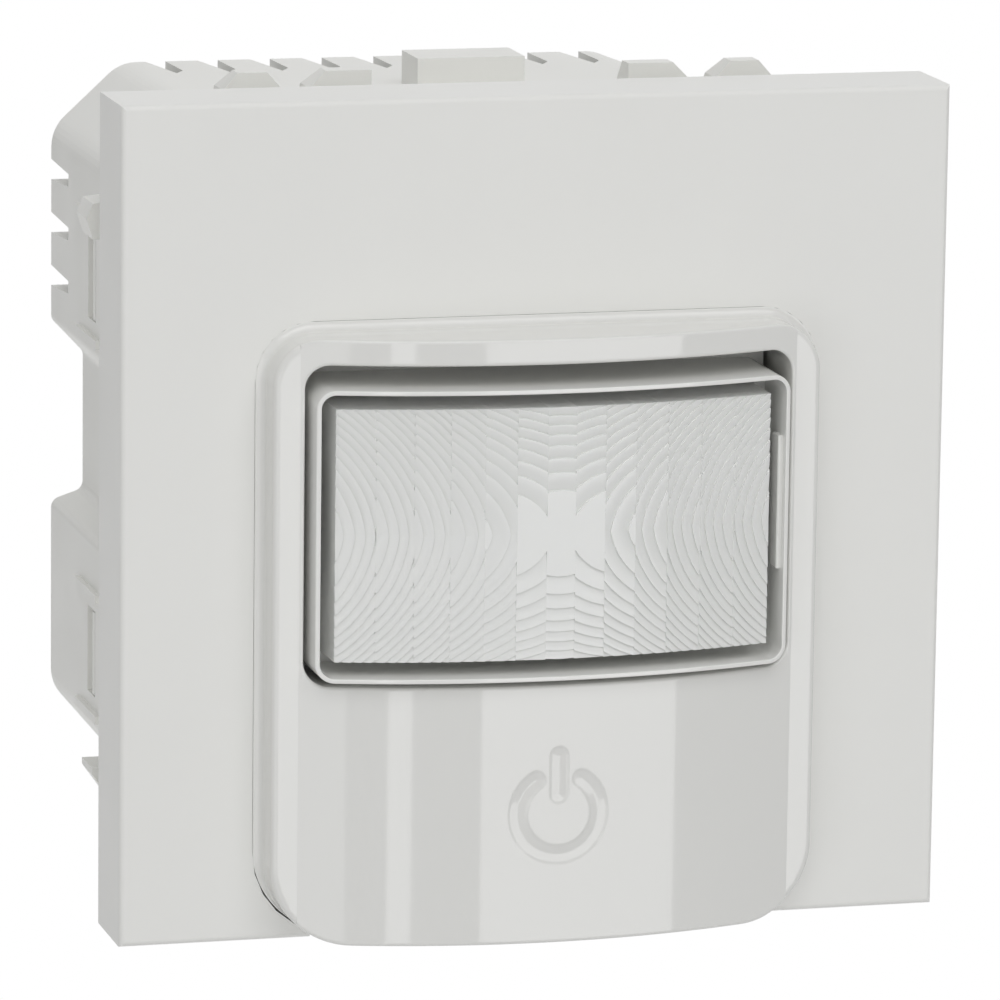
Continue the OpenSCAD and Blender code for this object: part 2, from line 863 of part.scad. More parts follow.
module controller_chip() {
    y = board_back + chip_lift;
    mid = y + chip_t / 2;
    knee = chip_half_b + leg_out / 2;
    color("dimgray") {
        slab(-chip_half_l, chip_half_l, y, y + chip_t, chip_z - chip_half_b, chip_z + chip_half_b);
        for (i = [-2:2], side = [0, 1])
            translate([i * leg_pitch - leg_w / 2, 0, chip_z])
                mirror([0, 0, side]) {
                    slab(0, leg_w, mid, mid + leg_t, chip_half_b - slip, knee);
                    slab(0, leg_w, board_back, mid + leg_t, knee - leg_t, knee);
                    slab(0, leg_w, board_back, board_back + leg_t, knee - leg_t, chip_half_b + leg_out);
                }
    }
}

module tact_switch()
    color("dimgray")
        difference() {
            slab(-tact_w / 2, tact_w / 2, tact_front, board_front, post_z - tact_w / 2, post_z + tact_w / 2);
            rod_y(plunger_r + running, -far, tact_front + plunger_bore, 0, post_z);
        }

module tact_plunger()
    color("ivory") rod_y(plunger_r, plunger_front, tact_front + plunger_seat, 0, post_z);

// Adjusters
module trimmer_bodies()
    color("steelblue")
        both_sides()
        difference() {
            slab(dial_x - trimmer_w / 2, dial_x + trimmer_w / 2, trimmer_front, board_front,
                dial_z - trimmer_w / 2, dial_z + trimmer_w / 2);
            rod_y(dial_shaft_r + running, -far, dial_back + dial_shaft_l + slip, dial_x, dial_z);
        }

// Dial with a screwdriver slot that is longer on its pointer side
module dial(x)
    color("orange")
        difference() {
            union() {
                rod_y(dial_r, dial_front, dial_back, x, dial_z);
                rod_y(dial_shaft_r, dial_back - slip, dial_back + dial_shaft_l, x, dial_z);
            }
            slab(x - dial_slot_w / 2, x + dial_slot_w / 2, -far, dial_front + dial_slot_d,
                dial_z - dial_r * 0.45, dial_z + dial_r * 0.8);
        }

module time_dial()
    dial(-dial_x);

module lux_dial()
    dial(dial_x);

// Link between the boards
module pin_header() {
    half = pin_count * pin_pitch / 2;
    hole = pin_w / 2 + running / 2;
    color("dimgray")
        difference() {
            slab(-half, half, board_back, board_back + header_h, pin_z - header_h / 2, pin_z + header_h / 2);
            for (i = [1:pin_count])
                slab(pin_x(i) - hole, pin_x(i) + hole, 0, far, pin_z - hole, pin_z + hole);
        }
}

module header_pins()
    color("goldenrod")
        for (i = [1:pin_count])
            slab(pin_x(i) - pin_w / 2, pin_x(i) + pin_w / 2, board_front - 0.5,
                power_front - socket_h + pin_reach, pin_z - pin_w / 2, pin_z + pin_w / 2);

module header_socket() {
    half = pin_count * pin_pitch / 2;
    hole = pin_w / 2 + running;
    color("dimgray")
        difference() {
            slab(-half, half, power_front - socket_h, power_front, pin_z - header_h / 2,
                pin_z + header_h / 2);
            for (i = [1:pin_count])
                slab(pin_x(i) - hole, pin_x(i) + hole, 0, power_front - socket_h + pin_reach + slip,
                    pin_z - hole, pin_z + hole);
        }
}

// Power board and what it carries
module power_board() {
    w = power_half_w;
    h = power_half_h;
    c = power_corner;
    color("seagreen")
        difference() {
            along_y(power_front, power_back)
                polygon([[-w + c, -h], [w - c, -h], [w, -h + c], [w, h - c], [w - c, h], [-w + c, h],
                    [-w, h - c], [-w, -h + c]]);
            both_sides() rod_y(screw_shank_r + running, 0, far, boss_at.x, boss_at.y);
            for (i = [1:terminal_count])
                slab(terminal_x(i) - tongue_tail_w / 2 - slip, terminal_x(i) + tongue_tail_w / 2 + slip, 0,
                    far, tongue_z - slip, tongue_z + tongue_t + slip);
        }
}

module board_screws()
    color("silver")
        both_sides()
        difference() {
            union() {
                rod_y(board_screw_head_r, power_front - board_screw_head_h, power_front, boss_at.x,
                    boss_at.y);
                rod_y(screw_shank_r, power_front - slip, power_front + screw_shank_l, boss_at.x, boss_at.y);
            }
            for (half = [board_screw_cross, [board_screw_cross.y, board_screw_cross.x]])
                slab(boss_at.x - half.x, boss_at.x + half.x, 0, power_front - board_screw_head_h / 3,
                    boss_at.y - half.y, boss_at.y + half.y);
        }

// Block with rounded edges along its height from the board
module potted_block(at, size, height, r)
    along_y(power_front - height, power_front)
    polygon(rounded(rectangle(at.x - size.x / 2, at.x + size.x / 2, at.y - size.y / 2, at.y + size.y / 2),
        [r, r, r, r]));

module relay()
    color("black") potted_block(relay_at, relay_size, relay_h, case_r);

module film_capacitor()
    color("darkgoldenrod") potted_block(film_at, film_size, film_h, case_r);

// Can with a rolled groove near its open end, lying along the board
module smoothing_capacitor() {
    start = can_cap_groove[0];
    mid = start + can_cap_groove[1] / 2;
    end = start + can_cap_groove[1];
    color("midnightblue")
        translate([can_cap_at.x - can_cap_l / 2, power_front - can_cap_r, can_cap_at.y])
        rotate([0, 90, 0])
        rotate_extrude()
        polygon([[0, 0], [can_cap_r, 0], [can_cap_r, start], [can_cap_r - can_cap_groove[2], mid],
            [can_cap_r, end], [can_cap_r, can_cap_l], [0, can_cap_l]]);
}

module varistor() {
    r = varistor_r;
    rim = varistor_rim;
    t = varistor_t;
    color("royalblue")
        translate([varistor_at.x - t / 2, power_front - r, varistor_at.y])
        rotate([0, 90, 0])
        rotate_extrude()
        polygon([[0, 0], [r - rim, 0], [r, rim], [r, t - rim], [r - rim, t], [0, t]]);
}

module fuse()
    color("saddlebrown") potted_block(fuse_at, fuse_size, fuse_h, 2 * case_r);

// Drum core with its winding between two flanges
module choke() {
    top = choke_h - choke_flange;
    color("darkslategray")
        translate([choke_at.x, power_front, choke_at.y])
        rotate([90, 0, 0])
        rotate_extrude()
        polygon([[0, 0], [choke_r, 0], [choke_r, choke_flange], [choke_winding_r, choke_flange],
            [choke_winding_r, top], [choke_r, top], [choke_r, choke_h], [0, choke_h]]);
}

module rectifier()
    color("black") potted_block(rectifier_at, rectifier_size, rectifier_h, case_r);

// Terminals, each a fixed tongue, a cage that rises round it and a screw that drives the cage
module terminal_tongues()
    color("goldenrod")
        for (i = [1:terminal_count]) {
            x = terminal_x(i);
            slab(x - tongue_w / 2, x + tongue_w / 2, power_back, cage_y + cage_l / 2 + 0.4, tongue_z,
                tongue_z + tongue_t);
            slab(x - tongue_tail_w / 2, x + tongue_tail_w / 2, power_front - tongue_tail_out,
                power_back + slip, tongue_z, tongue_z + tongue_t);
        }

module clamp_cage(i) {
    x = terminal_x(i);
    y0 = cage_y - cage_l / 2;
    y1 = cage_y + cage_l / 2;
    color("darkkhaki")
        difference() {
            slab(x - cage_w / 2, x + cage_w / 2, y0, y1, cage_bottom, cage_top);
            slab(x - cage_w / 2 + cage_side, x + cage_w / 2 - cage_side, 0, far, cage_bottom + cage_floor,
                cage_top - cage_roof);
            rod_z(screw_r + running, cage_bottom - slip, cage_bottom + cage_floor + slip, x, cage_y);
        }
}

module terminal_screw(i) {
    x = terminal_x(i);
    color("silver")
        difference() {
            union() {
                rod_z(screw_head_r, screw_head_z, screw_head_z + screw_head_h, x, cage_y);
                rod_z(screw_r, screw_head_z + screw_head_h - slip, tongue_z - slip, x, cage_y);
            }
            slab(x - screw_slot / 2, x + screw_slot / 2, 0, far, -far, screw_head_z + screw_slot_d);
        }
}

// Rear housing
// Slots that narrow forwards from the back edge: slanted ones along the top, tapered ones down the sides
module comb_slots() {
    for (i = [0:comb_top_slots - 1])
        translate([comb_top_x + i * comb_pitch, housing_back, half_h - comb_depth])
            linear_extrude(far)
            polygon([[-comb_slot, slip], [-comb_slot, 0], [-comb_top_lead, -comb_length],
                [comb_top_spread, comb_top_short - comb_length], [0, 0], [0, slip]]);
    both_sides()
        for (i = [0:comb_side_slots - 1])
            translate([half_w - comb_depth, housing_back, comb_side_z - i * comb_pitch])
                rotate([90, 0, 90])
                linear_extrude(2 * comb_depth)
                polygon([[slip, 0], [0, 0], [-comb_length, -comb_side_lead],
                    [-comb_length, comb_side_rise - comb_slot], [0, -comb_slot], [slip, -comb_slot]]);
}

module housing_shell()
    difference() {
        along_y(chassis_back, housing_back) polygon(housing_points(0));
        along_y(0, housing_inside) polygon(housing_points(housing_wall));
        comb_slots();
        both_sides()
            top_and_bottom()
            slab(half_w - housing_wall - slip, far, latch_nib_y - slip, latch_nib_y + latch_nib_t + slip,
                latch_z - latch_half - slip, latch_z + latch_half + slip);
        for (i = [1:terminal_count]) {
            rod_y(wire_r, 0, far, terminal_x(i), wire_z);
            rod_z(screw_head_r + slip, -far, -half_h + housing_wall + slip, terminal_x(i), cage_y);
        }
    }

module rear_housing()
    color("gainsboro") {
        housing_shell();
        slab(-key_half, key_half, key_y, key_y + key_l, half_h - slip, key_top);
        both_sides() {
            top_and_bottom()
                for (z = rib_zs)
                    slab(half_w - slip, half_w + rib_h, rib_y, rib_y + rib_l, z, z + rib_t);
            difference() {
                rod_y(boss_r, power_back, housing_inside + slip, boss_at.x, boss_at.y);
                rod_y(screw_shank_r + running, 0, power_front + screw_shank_l + slip, boss_at.x, boss_at.y);
            }
        }
        for (i = [1:terminal_count - 1]) {
            x = (terminal_x(i) + terminal_x(i + 1)) / 2;
            slab(x - rib_between / 2, x + rib_between / 2, power_back, housing_inside + slip,
                -half_h + housing_wall - slip, rib_top);
        }
    }

cover_plate();
push_button();
lens_collar();
fresnel_lens();
chassis();
sensor_board();
pir_can();
pir_window();
light_sensor();
status_led();
controller_chip();
tact_switch();
tact_plunger();
trimmer_bodies();
time_dial();
lux_dial();
pin_header();
header_pins();
header_socket();
power_board();
relay();
film_capacitor();
smoothing_capacitor();
varistor();
fuse();
choke();
rectifier();
board_screws();
terminal_tongues();
clamp_cage(1);  // clamp_cage_1
clamp_cage(2);  // clamp_cage_2
clamp_cage(3);  // clamp_cage_3
clamp_cage(4);  // clamp_cage_4
terminal_screw(1);  // terminal_screw_1
terminal_screw(2);  // terminal_screw_2
terminal_screw(3);  // terminal_screw_3
terminal_screw(4);  // terminal_screw_4
rear_housing();
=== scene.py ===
"""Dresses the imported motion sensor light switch: button, collar and lens surfaces, finishes, light and camera."""
import math

import bmesh
import bpy
import numpy as np
from mathutils import Matrix, Vector


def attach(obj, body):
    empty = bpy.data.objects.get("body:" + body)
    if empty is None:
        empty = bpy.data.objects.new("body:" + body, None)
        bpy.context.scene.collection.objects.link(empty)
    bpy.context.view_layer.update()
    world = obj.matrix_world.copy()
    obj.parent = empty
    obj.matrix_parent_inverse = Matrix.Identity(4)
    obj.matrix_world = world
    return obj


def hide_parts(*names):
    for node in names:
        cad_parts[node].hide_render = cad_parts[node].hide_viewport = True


bl_info = {
    "name": "Motion Sensor Switch Dressing",
    "version": (1, 0, 0),
    "blender": (4, 5, 0),
    "location": "View3D > Sidebar > Switch",
    "description": "Finishes a flush motion sensor light switch and its studio",
    "category": "Object",
}

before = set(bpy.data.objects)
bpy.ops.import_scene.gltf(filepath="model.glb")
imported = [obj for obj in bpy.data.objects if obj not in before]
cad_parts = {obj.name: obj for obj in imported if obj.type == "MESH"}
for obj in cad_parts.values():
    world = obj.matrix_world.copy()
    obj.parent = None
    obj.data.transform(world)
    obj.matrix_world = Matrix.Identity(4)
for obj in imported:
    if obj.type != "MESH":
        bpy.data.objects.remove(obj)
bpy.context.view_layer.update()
MM = 0.001
MERGE_M, SLIVER_M = 2e-7, 1e-7  # seam points this near become one, and thinner faces are dissolved
PLANE_DIGITS = 6  # depths in metres are rounded to a micrometre to tell planes apart
CRISP_DEG, LENS_CRISP_DEG = 32.0, 24.0  # edges that turn more than this aren't smoothed


def linear(hex_colour):
    """Linear red, green and blue of an sRGB hex colour such as "e0e0de"."""
    s = [int(hex_colour[i:i + 2], 16) / 255.0 for i in (0, 2, 4)]
    return tuple(c / 12.92 if c <= 0.04045 else ((c + 0.055) / 1.055) ** 2.4 for c in s)


class SwitchSizes(bpy.types.PropertyGroup):
    """Sizes of the dressed surfaces, in metres."""

    button_radius: bpy.props.FloatProperty(
        name="Button radius", description="Radius of the button's bowed front", default=0.038, unit="LENGTH")
    button_edge: bpy.props.FloatProperty(
        name="Button edge", description="Rounding of the button's top and bottom edges", default=0.00014, unit="LENGTH")
    land_edge: bpy.props.FloatProperty(
        name="Land edge", description="Rounding of the side lands' outer edges", default=0.0003, unit="LENGTH")
    window_edge: bpy.props.FloatProperty(
        name="Window edge", description="Rounding of the window's edge", default=0.00016, unit="LENGTH")
    button_flare: bpy.props.FloatProperty(
        name="Button flare", description="Fillet at the foot of the button's walls", default=0.00048, unit="LENGTH")
    symbol_ring: bpy.props.FloatProperty(
        name="Symbol ring", description="Middle radius of the engraved ring", default=0.00222, unit="LENGTH")
    symbol_stroke: bpy.props.FloatProperty(
        name="Symbol stroke", description="Width of the engraved stroke", default=0.00106, unit="LENGTH")
    symbol_depth: bpy.props.FloatProperty(
        name="Symbol depth", description="Depth of the engraved stroke", default=0.000085, unit="LENGTH")
    collar_lip: bpy.props.FloatProperty(
        name="Collar lip", description="Width of the collar's front lip", default=0.00024, unit="LENGTH")
    lens_columns: bpy.props.IntProperty(
        name="Lens columns", description="Upright columns of the lens", default=13, min=3)
    lens_zone: bpy.props.FloatProperty(
        name="Lens zone", description="Zone constant of each column's rings", default=0.00256, unit="LENGTH")
    lens_groove: bpy.props.FloatProperty(
        name="Lens groove", description="Depth of the steps between rings", default=0.00013, unit="LENGTH")


class SwitchColours(bpy.types.PropertyGroup):
    """Colours of the dressed surfaces."""

    gloss: bpy.props.FloatVectorProperty(
        name="Gloss white", description="Push button", subtype="COLOR", size=3, default=linear("efefec"))
    plate: bpy.props.FloatVectorProperty(
        name="Plate white", description="Cover plate and collar", subtype="COLOR", size=3, default=linear("f7f7f4"))
    satin: bpy.props.FloatVectorProperty(
        name="Satin white", description="Chassis and housing", subtype="COLOR", size=3, default=linear("f7f7f3"))
    lens: bpy.props.FloatVectorProperty(
        name="Lens white", description="Milky lens", subtype="COLOR", size=3, default=linear("f5f6f4"))
    board: bpy.props.FloatVectorProperty(
        name="Board green", description="Solder mask", subtype="COLOR", size=3, default=linear("1d5a36"))
    floor: bpy.props.FloatVectorProperty(
        name="Floor", description="Studio floor", subtype="COLOR", size=3, default=linear("fafafa"))


def sizes():
    """The scene's sizes, in millimetres where they are lengths."""
    group = bpy.context.scene.switch_sizes
    names = [n for n in group.__annotations__ if n != "lens_columns"]
    found = {n: getattr(group, n) / MM for n in names}
    found["lens_columns"] = group.lens_columns
    return found


# Meshes

def grid_faces(rows, columns, around=False):
    """Quads of a grid of points numbered row by row; around joins the last column to the first."""
    r, c = np.meshgrid(np.arange(rows - 1), np.arange(columns if around else columns - 1), indexing="ij")
    n = (c + 1) % columns
    corners = [r * columns + c, r * columns + n, (r + 1) * columns + n, (r + 1) * columns + c]
    return np.stack(corners, -1).reshape(-1, 4)


def stacked(parts):
    """One array of points and one list of faces from several (points, faces) parts."""
    points, faces, start = [], [], 0
    for p, f in parts:
        p = np.asarray(p, float).reshape(-1, 3)
        points.append(p)
        faces.extend((np.asarray(f) + start).tolist())
        start += len(p)
    return np.concatenate(points), faces


def close_backs(work):
    """Fills the open rims that lie in upright planes, all rims of one plane together so that holes stay holes."""
    rims = [e for e in work.edges if e.is_boundary]
    for depth in sorted({round(e.verts[0].co.y, PLANE_DIGITS) for e in rims}):
        level = [e for e in rims if round(e.verts[0].co.y, PLANE_DIGITS) == depth]
        bmesh.ops.triangle_fill(work, edges=level, use_beauty=True, normal=(0, 1, 0))


def add_piece(name, parts, body, nodes, material, sharp=CRISP_DEG):
    """A mesh object from parts in millimetres, seams merged, faces outward and edges past sharp degrees kept crisp."""
    points, faces = stacked(parts)
    mesh = bpy.data.meshes.new(name)
    mesh.from_pydata(points * MM, [], faces)
    work = bmesh.new()
    work.from_mesh(mesh)
    bmesh.ops.remove_doubles(work, verts=work.verts, dist=MERGE_M)
    bmesh.ops.dissolve_degenerate(work, edges=work.edges, dist=SLIVER_M)
    close_backs(work)
    bmesh.ops.recalc_face_normals(work, faces=work.faces)
    work.to_mesh(mesh)
    work.free()
    mesh.shade_smooth()
    mesh.set_sharp_from_angle(angle=math.radians(sharp))
    mesh.materials.append(material)
    piece = bpy.data.objects.new(name, mesh)
    bpy.context.scene.collection.objects.link(piece)
    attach(piece, body)
    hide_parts(*nodes)


def walls(rim, depth, rows):
    """Evenly spaced rows of points straight back from a closed rim to that depth, joined all the way round."""
    share = np.linspace(0, 1, rows)[:, None, None]
    return rim + share * (np.where((0, 1, 0), depth, rim) - rim), grid_faces(rows, len(rim), True)


def pocket(half, low, high, mouth, apex, radius):
    """A blind pocket from behind: a rectangular ceiling that follows an upright cylinder, and walls to its mouth."""
    x, z = np.meshgrid(np.linspace(-half, half, COUNT["pocket"]), (low, high))
    ceiling = np.stack([x, bowed(x, apex, radius), z], -1)
    edge = np.concatenate([ceiling[0], ceiling[1, ::-1]])
    return [(ceiling, grid_faces(*ceiling.shape[:2])), walls(edge, mouth, 2)]


def rod(along_x, start, end, radius, centre):
    """A closed round rod along x or y: two rings of that radius, each drawn in to a point on the centre line."""
    turn = np.linspace(0, 2 * math.pi, COUNT["rod"], endpoint=False)
    r = np.array([0, radius, radius, 0])[:, None]
    along = np.repeat([[start], [start], [end], [end]], len(turn), 1)
    u, v = centre[0] + r * np.cos(turn), centre[1] + r * np.sin(turn)
    points = np.stack([along, u, v] if along_x else [u, along, v], -1)
    return points, grid_faces(*points.shape[:2], True)


def block(x0, x1, y0, y1, z0, z1, cut):
    """A box with its edges cut off, as closed rings one behind the other.

    Each end is a rectangle smaller by the cut all round, drawn in to its middle; between the ends run the outline's
    eight points, two at each corner, one set in by the cut along x and one along z."""
    middle, half = np.array([x0 + x1, z0 + z1]) / 2, np.array([x1 - x0, z1 - z0]) / 2
    corner = np.repeat([(1, -1), (1, 1), (-1, 1), (-1, -1)], 2, 0)
    inset = np.tile([(1, 0), (0, 1), (0, 1), (1, 0)], (2, 1))
    outline, end = middle + corner * (half - cut * inset), middle + corner * (half - cut)
    point = np.broadcast_to(middle, end.shape)
    rings = np.array([point, end, outline, outline, end, point])
    depth = np.array([y0, y0, y0 + cut, y1 - cut, y1, y1])
    points = np.stack([rings[..., 0], np.repeat(depth[:, None], len(corner), 1), rings[..., 1]], -1)
    return points, grid_faces(*points.shape[:2], True)


def clustered(length, edge, count):
    """Places from 0 to length that crowd quadratically into the last edge before each end."""
    ease = edge * np.linspace(0, 1, COUNT["head_ease"]) ** 2
    middle = np.linspace(edge, length - edge, count)[1:-1]
    return np.concatenate([ease, middle, length - ease[::-1]])


def arc_height(x, start, radius):
    """Rise of a quarter arc of that radius over x, which begins flat at start and is zero before it."""
    return np.sqrt(np.maximum(radius ** 2 - np.clip(np.abs(x) - start, 0, radius) ** 2, 0))


def inside_depth(x, z, half, low, high, low_r, high_r):
    """Distance of a point inside a rounded rectangle from its outline, negative outside."""
    mid, tall = (low + high) / 2, (high - low) / 2
    r = np.where(z < mid, low_r, high_r)
    qx, qz = np.abs(x) - half + r, np.abs(z - mid) - tall + r
    out = np.hypot(np.maximum(qx, 0), np.maximum(qz, 0))
    return r - out - np.minimum(np.maximum(qx, qz), 0)


def eased(depth, r):
    """Drop of a quarter-round edge of radius r at that distance from the edge."""
    return r - np.sqrt(np.maximum(r ** 2 - np.clip(r - depth, 0, r) ** 2, 0))


# Places shared with the solids, in millimetres: x to the right, y into the wall, z up. A half is half a width, an out
# lies furthest from the middle, a back or end lies furthest into the wall, and an r is a radius. The symbol's gap is in
# degrees from its bar. The lens's rings centre a little below its middle line, shifted sideways by up to shift.
BUTTON = dict(apex=-10.3, land=-7.833, fall=0.06, crest=13.47, half=14.85, low=-22.1, high=10.305, low_r=4.1,
              high_r=2.6, back=-4.301, plate=-5.4, lift=0.05)
BEHIND = dict(wall=1.3, half=12.17, low=-20.8, high=-9.455, root=-5.6, post_r=1.0, post_z=-15.1275, post_end=-4.1,
              web=-7.1, web_end=-4.9, lip=11.9, lip_end=-3.001, lip_t=0.9, arm=13.25, arm_out=14.5, arm_end=-0.6,
              arm_half=1.3, trunnion=13.85, trunnion_out=16.1, trunnion_r=0.9, pivot_y=-1.9, pivot_z=7.555,
              catch=13.2, catch_out=14.2, catch_end=-0.9, catch_low=-18.5, catch_high=-15.5, nib=12.2, nib_out=13.7,
              nib_front=-1.9, cut=0.08)
WINDOW = dict(half=13.23, low=-8.155, high=8.955, r=1.3)
SYMBOL = dict(x=0.08, z=-15.1, gap=34.0, bar_top=-11.98, bar_low=-14.05, rim=0.035, ease=0.08)
COLLAR = dict(half=12.85, tall=7.775, r=1.0, apex=-10.93, radius=42.0, back=-3.5, shelf=-5.0, base=0.85,
              clip_in=0.5, clip_front=-8.456, hidden=-7.95, clip_back=-7.3, clip_low=-2.8, clip_high=4.4, edge=0.06)
LENS = dict(half=11.8, tall=6.725, apex=-10.35, radius=45.0, seat=-3.45, back=-2.95, flange=0.35, wall=0.9,
            middle=0.67, start=1.34, shift=6.2, reach=9.0, growth=0.0442, seam=0.003, half_step=0.002)
# Spacing of the button's points, in millimetres: fine in the field round the symbol and wider elsewhere, crowded
# quadratically over each ease before an edge. The fan is how steeply the rows beside the window's top run down.
FIELD = dict(half=3.3, low=-18.5, high=-11.0, step=0.07)
SPACING = dict(first_column=3.5, column=0.42, corner=0.2, land=0.02, first_row=0.9, row=0.45, beyond=0.4,
               foot_ease=0.5, sill_ease=0.35, head_ease=0.4, fan=1.6)
# Shares of the way from the window's side to the crest at which the button has columns
STRIP = np.array([.03, .08, .16, .27, .4, .52, .64, .76, .87, .95, 1])
# Numbers of points or rows
COUNT = dict(corner=12, land=18, ease=10, head=8, head_ease=8, beside=26, flare=8, hole=4, pocket=41, rod=40,
             collar_side=60, collar_corner=12, collar_edge=6, lens_across=24, lens_up=121, lens_wall=3)
WALL_FLARES = 1.6  # the button's straight walls end this many flares in front of the plate


def bowed(x, apex, radius):
    """Depth of a front that is an upright cylinder of that radius with its front line at apex."""
    return apex + radius - np.sqrt(radius ** 2 - x ** 2)


def stroke_distance(x, z, ring, gap):
    """Distance to the power symbol's centre lines: an open ring, and an upright bar through its gap."""
    dx, dz = x - SYMBOL["x"], z - SYMBOL["z"]
    angle = np.abs(np.arctan2(dx, dz))
    limit = math.radians(gap)
    on_ring = np.abs(np.hypot(dx, dz) - ring)
    end = np.hypot(np.abs(dx) - ring * math.sin(limit), dz - ring * math.cos(limit))
    bar = np.hypot(dx, np.maximum(np.maximum(z - SYMBOL["bar_top"], SYMBOL["bar_low"] - z), 0))
    return np.minimum(np.where(angle > limit, on_ring, end), bar)


def button_base(x, radius):
    """Depth of the button's front without roundings: the bow inside the crest, falling lands outside it."""
    b = BUTTON
    land = b["land"] + b["fall"] * (np.abs(x) - b["crest"]) / (b["half"] - b["crest"])
    return np.where(np.abs(x) <= b["crest"], bowed(np.clip(x, -b["crest"], b["crest"]), b["apex"], radius), land)


def button_depth(x, z, s):
    """Depth of the button's front: base, quarter-round outer and window edges, and the engraved symbol.

    The engraving is a groove of two flat slopes whose depth falls evenly from the stroke's middle to its sides, and
    a short steep rim at each side."""
    b, w = BUTTON, WINDOW
    base = button_base(x, s["button_radius"])
    outer = inside_depth(x, z, b["half"], b["low"], b["high"], b["low_r"], b["high_r"])
    edge = np.where(np.abs(x) > b["crest"], s["land_edge"], s["button_edge"])
    around = -inside_depth(x, z, w["half"], w["low"], w["high"], w["r"], w["r"])
    half = s["symbol_stroke"] / 2
    within = np.clip(half - stroke_distance(x, z, s["symbol_ring"], SYMBOL["gap"]), 0, half)
    groove = s["symbol_depth"] * within / half + SYMBOL["rim"] * np.clip(within / SYMBOL["ease"], 0, 1)
    return base + eased(outer, edge) + eased(around, s["window_edge"]) + groove


def button_foot(rim, flare):
    """Rows of points from the button's front rim back along its walls, out over a hollow quarter round, and back.

    Each point moves out along the outline's normal; the bottom edge is only lifted, as the plate is open below it."""
    b = BUTTON
    x, z = rim[:, 0], rim[:, 2]
    r = np.where(z < 0, b["low_r"], b["high_r"])
    low, high = b["low"] + b["low_r"], b["high"] - b["high_r"]
    cx, cz = np.clip(x, r - b["half"], b["half"] - r), np.clip(z, low, high)
    centre = np.interp(cz, (low, high), (low + b["lift"] + flare, high))
    wide = np.stack([cx + (x - cx) * (1 + flare / r), centre + (z - cz) * (1 + flare / r)], -1)
    turn = np.linspace(0, math.pi / 2, COUNT["flare"])
    rows = [(0.0, b["plate"] - WALL_FLARES * flare)]
    rows += [(1 - math.cos(t), b["plate"] - flare * (1 - math.sin(t))) for t in turn]
    rows += [(1.0, b["back"]), (0.0, b["back"])]
    bands = [rim]
    for out, y in rows:
        at = rim[:, [0, 2]] + out * (wide - rim[:, [0, 2]])
        bands.append(np.stack([at[:, 0], np.full(len(rim), y), at[:, 1]], -1))
    return np.array(bands)


def button_parts(s):
    """The button as three bands of rows below, beside and above the window, with its outer and window walls."""
    b, w, f, p = BUTTON, WINDOW, FIELD, SPACING
    turn = np.sin(np.linspace(0, math.pi / 2, COUNT["corner"]))
    strip = w["half"] + (b["crest"] - w["half"]) * STRIP
    land = b["half"] - (b["half"] - b["crest"] - p["land"]) * np.linspace(1, 0, COUNT["land"]) ** 2
    right = np.concatenate([np.arange(0, f["half"], f["step"]),
                            np.arange(p["first_column"], w["half"] - w["r"] - p["corner"], p["column"]),
                            w["half"] - w["r"] * (1 - turn), strip, land])
    x = np.concatenate([-right[:0:-1], right])
    low = b["low"] + b["low_r"] - arc_height(x, b["half"] - b["low_r"], b["low_r"])
    high = b["high"] - b["high_r"] + arc_height(x, b["half"] - b["high_r"], b["high_r"])
    sill = np.where(np.abs(x) < w["half"], w["low"] + w["r"] - arc_height(x, w["half"] - w["r"], w["r"]),
                    w["low"] + w["r"])
    head = np.where(np.abs(x) < w["half"], w["high"] - w["r"] + arc_height(x, w["half"] - w["r"], w["r"]),
                    w["high"] - w["r"] - p["fan"] * (np.abs(x) - w["half"]))
    tall = w["low"] - b["low"]
    fine = np.arange(f["low"] - b["low"], f["high"] - b["low"], f["step"])
    lower = np.concatenate([p["foot_ease"] * np.linspace(0, 1, COUNT["ease"]) ** 2,
                            np.arange(p["first_row"], fine[0], p["row"]), fine,
                            np.arange(fine[-1] + p["beyond"], tall - p["beyond"], p["column"]),
                            tall - p["sill_ease"] * np.linspace(1, 0, COUNT["ease"]) ** 2]) / tall
    upper = clustered(b["high"] - w["high"], p["head_ease"], COUNT["head"]) / (b["high"] - w["high"])
    beside = np.linspace(0, 1, COUNT["beside"])

    def band(columns, share, start, end):
        """Points of the front over some columns, at those shares of the height from start to end."""
        xs = np.broadcast_to(x[columns], (len(share), len(x[columns])))
        zs = start[columns] + share[:, None] * (end - start)[columns]
        return np.stack([xs, button_depth(xs, zs, s), zs], -1)

    everywhere = slice(None)
    at = int(np.argmin(np.abs(x + w["half"])))
    end = len(x) - at - 1
    left, other = slice(0, at + 1), slice(end, None)
    bottom, top = band(everywhere, lower, low, sill), band(everywhere, upper, head, high)
    west, east = band(left, beside, sill, head), band(other, beside, sill, head)
    parts = [(grid, grid_faces(*grid.shape[:2])) for grid in (bottom, top, west, east)]

    rim = np.concatenate([bottom[0], bottom[1:, -1], east[1:, -1], top[1:, -1], top[-1, -2::-1], top[-2::-1, 0],
                          west[-2::-1, 0], bottom[-2:0:-1, 0]])
    foot = button_foot(rim, s["button_flare"])
    parts.append((foot, grid_faces(*foot.shape[:2], True)))

    hole = np.concatenate([bottom[-1, at:end + 1], east[1:, 0], top[0, end - 1:at - 1:-1], west[-2:0:-1, -1]])
    parts.append(walls(hole, b["back"], COUNT["hole"]))
    return parts


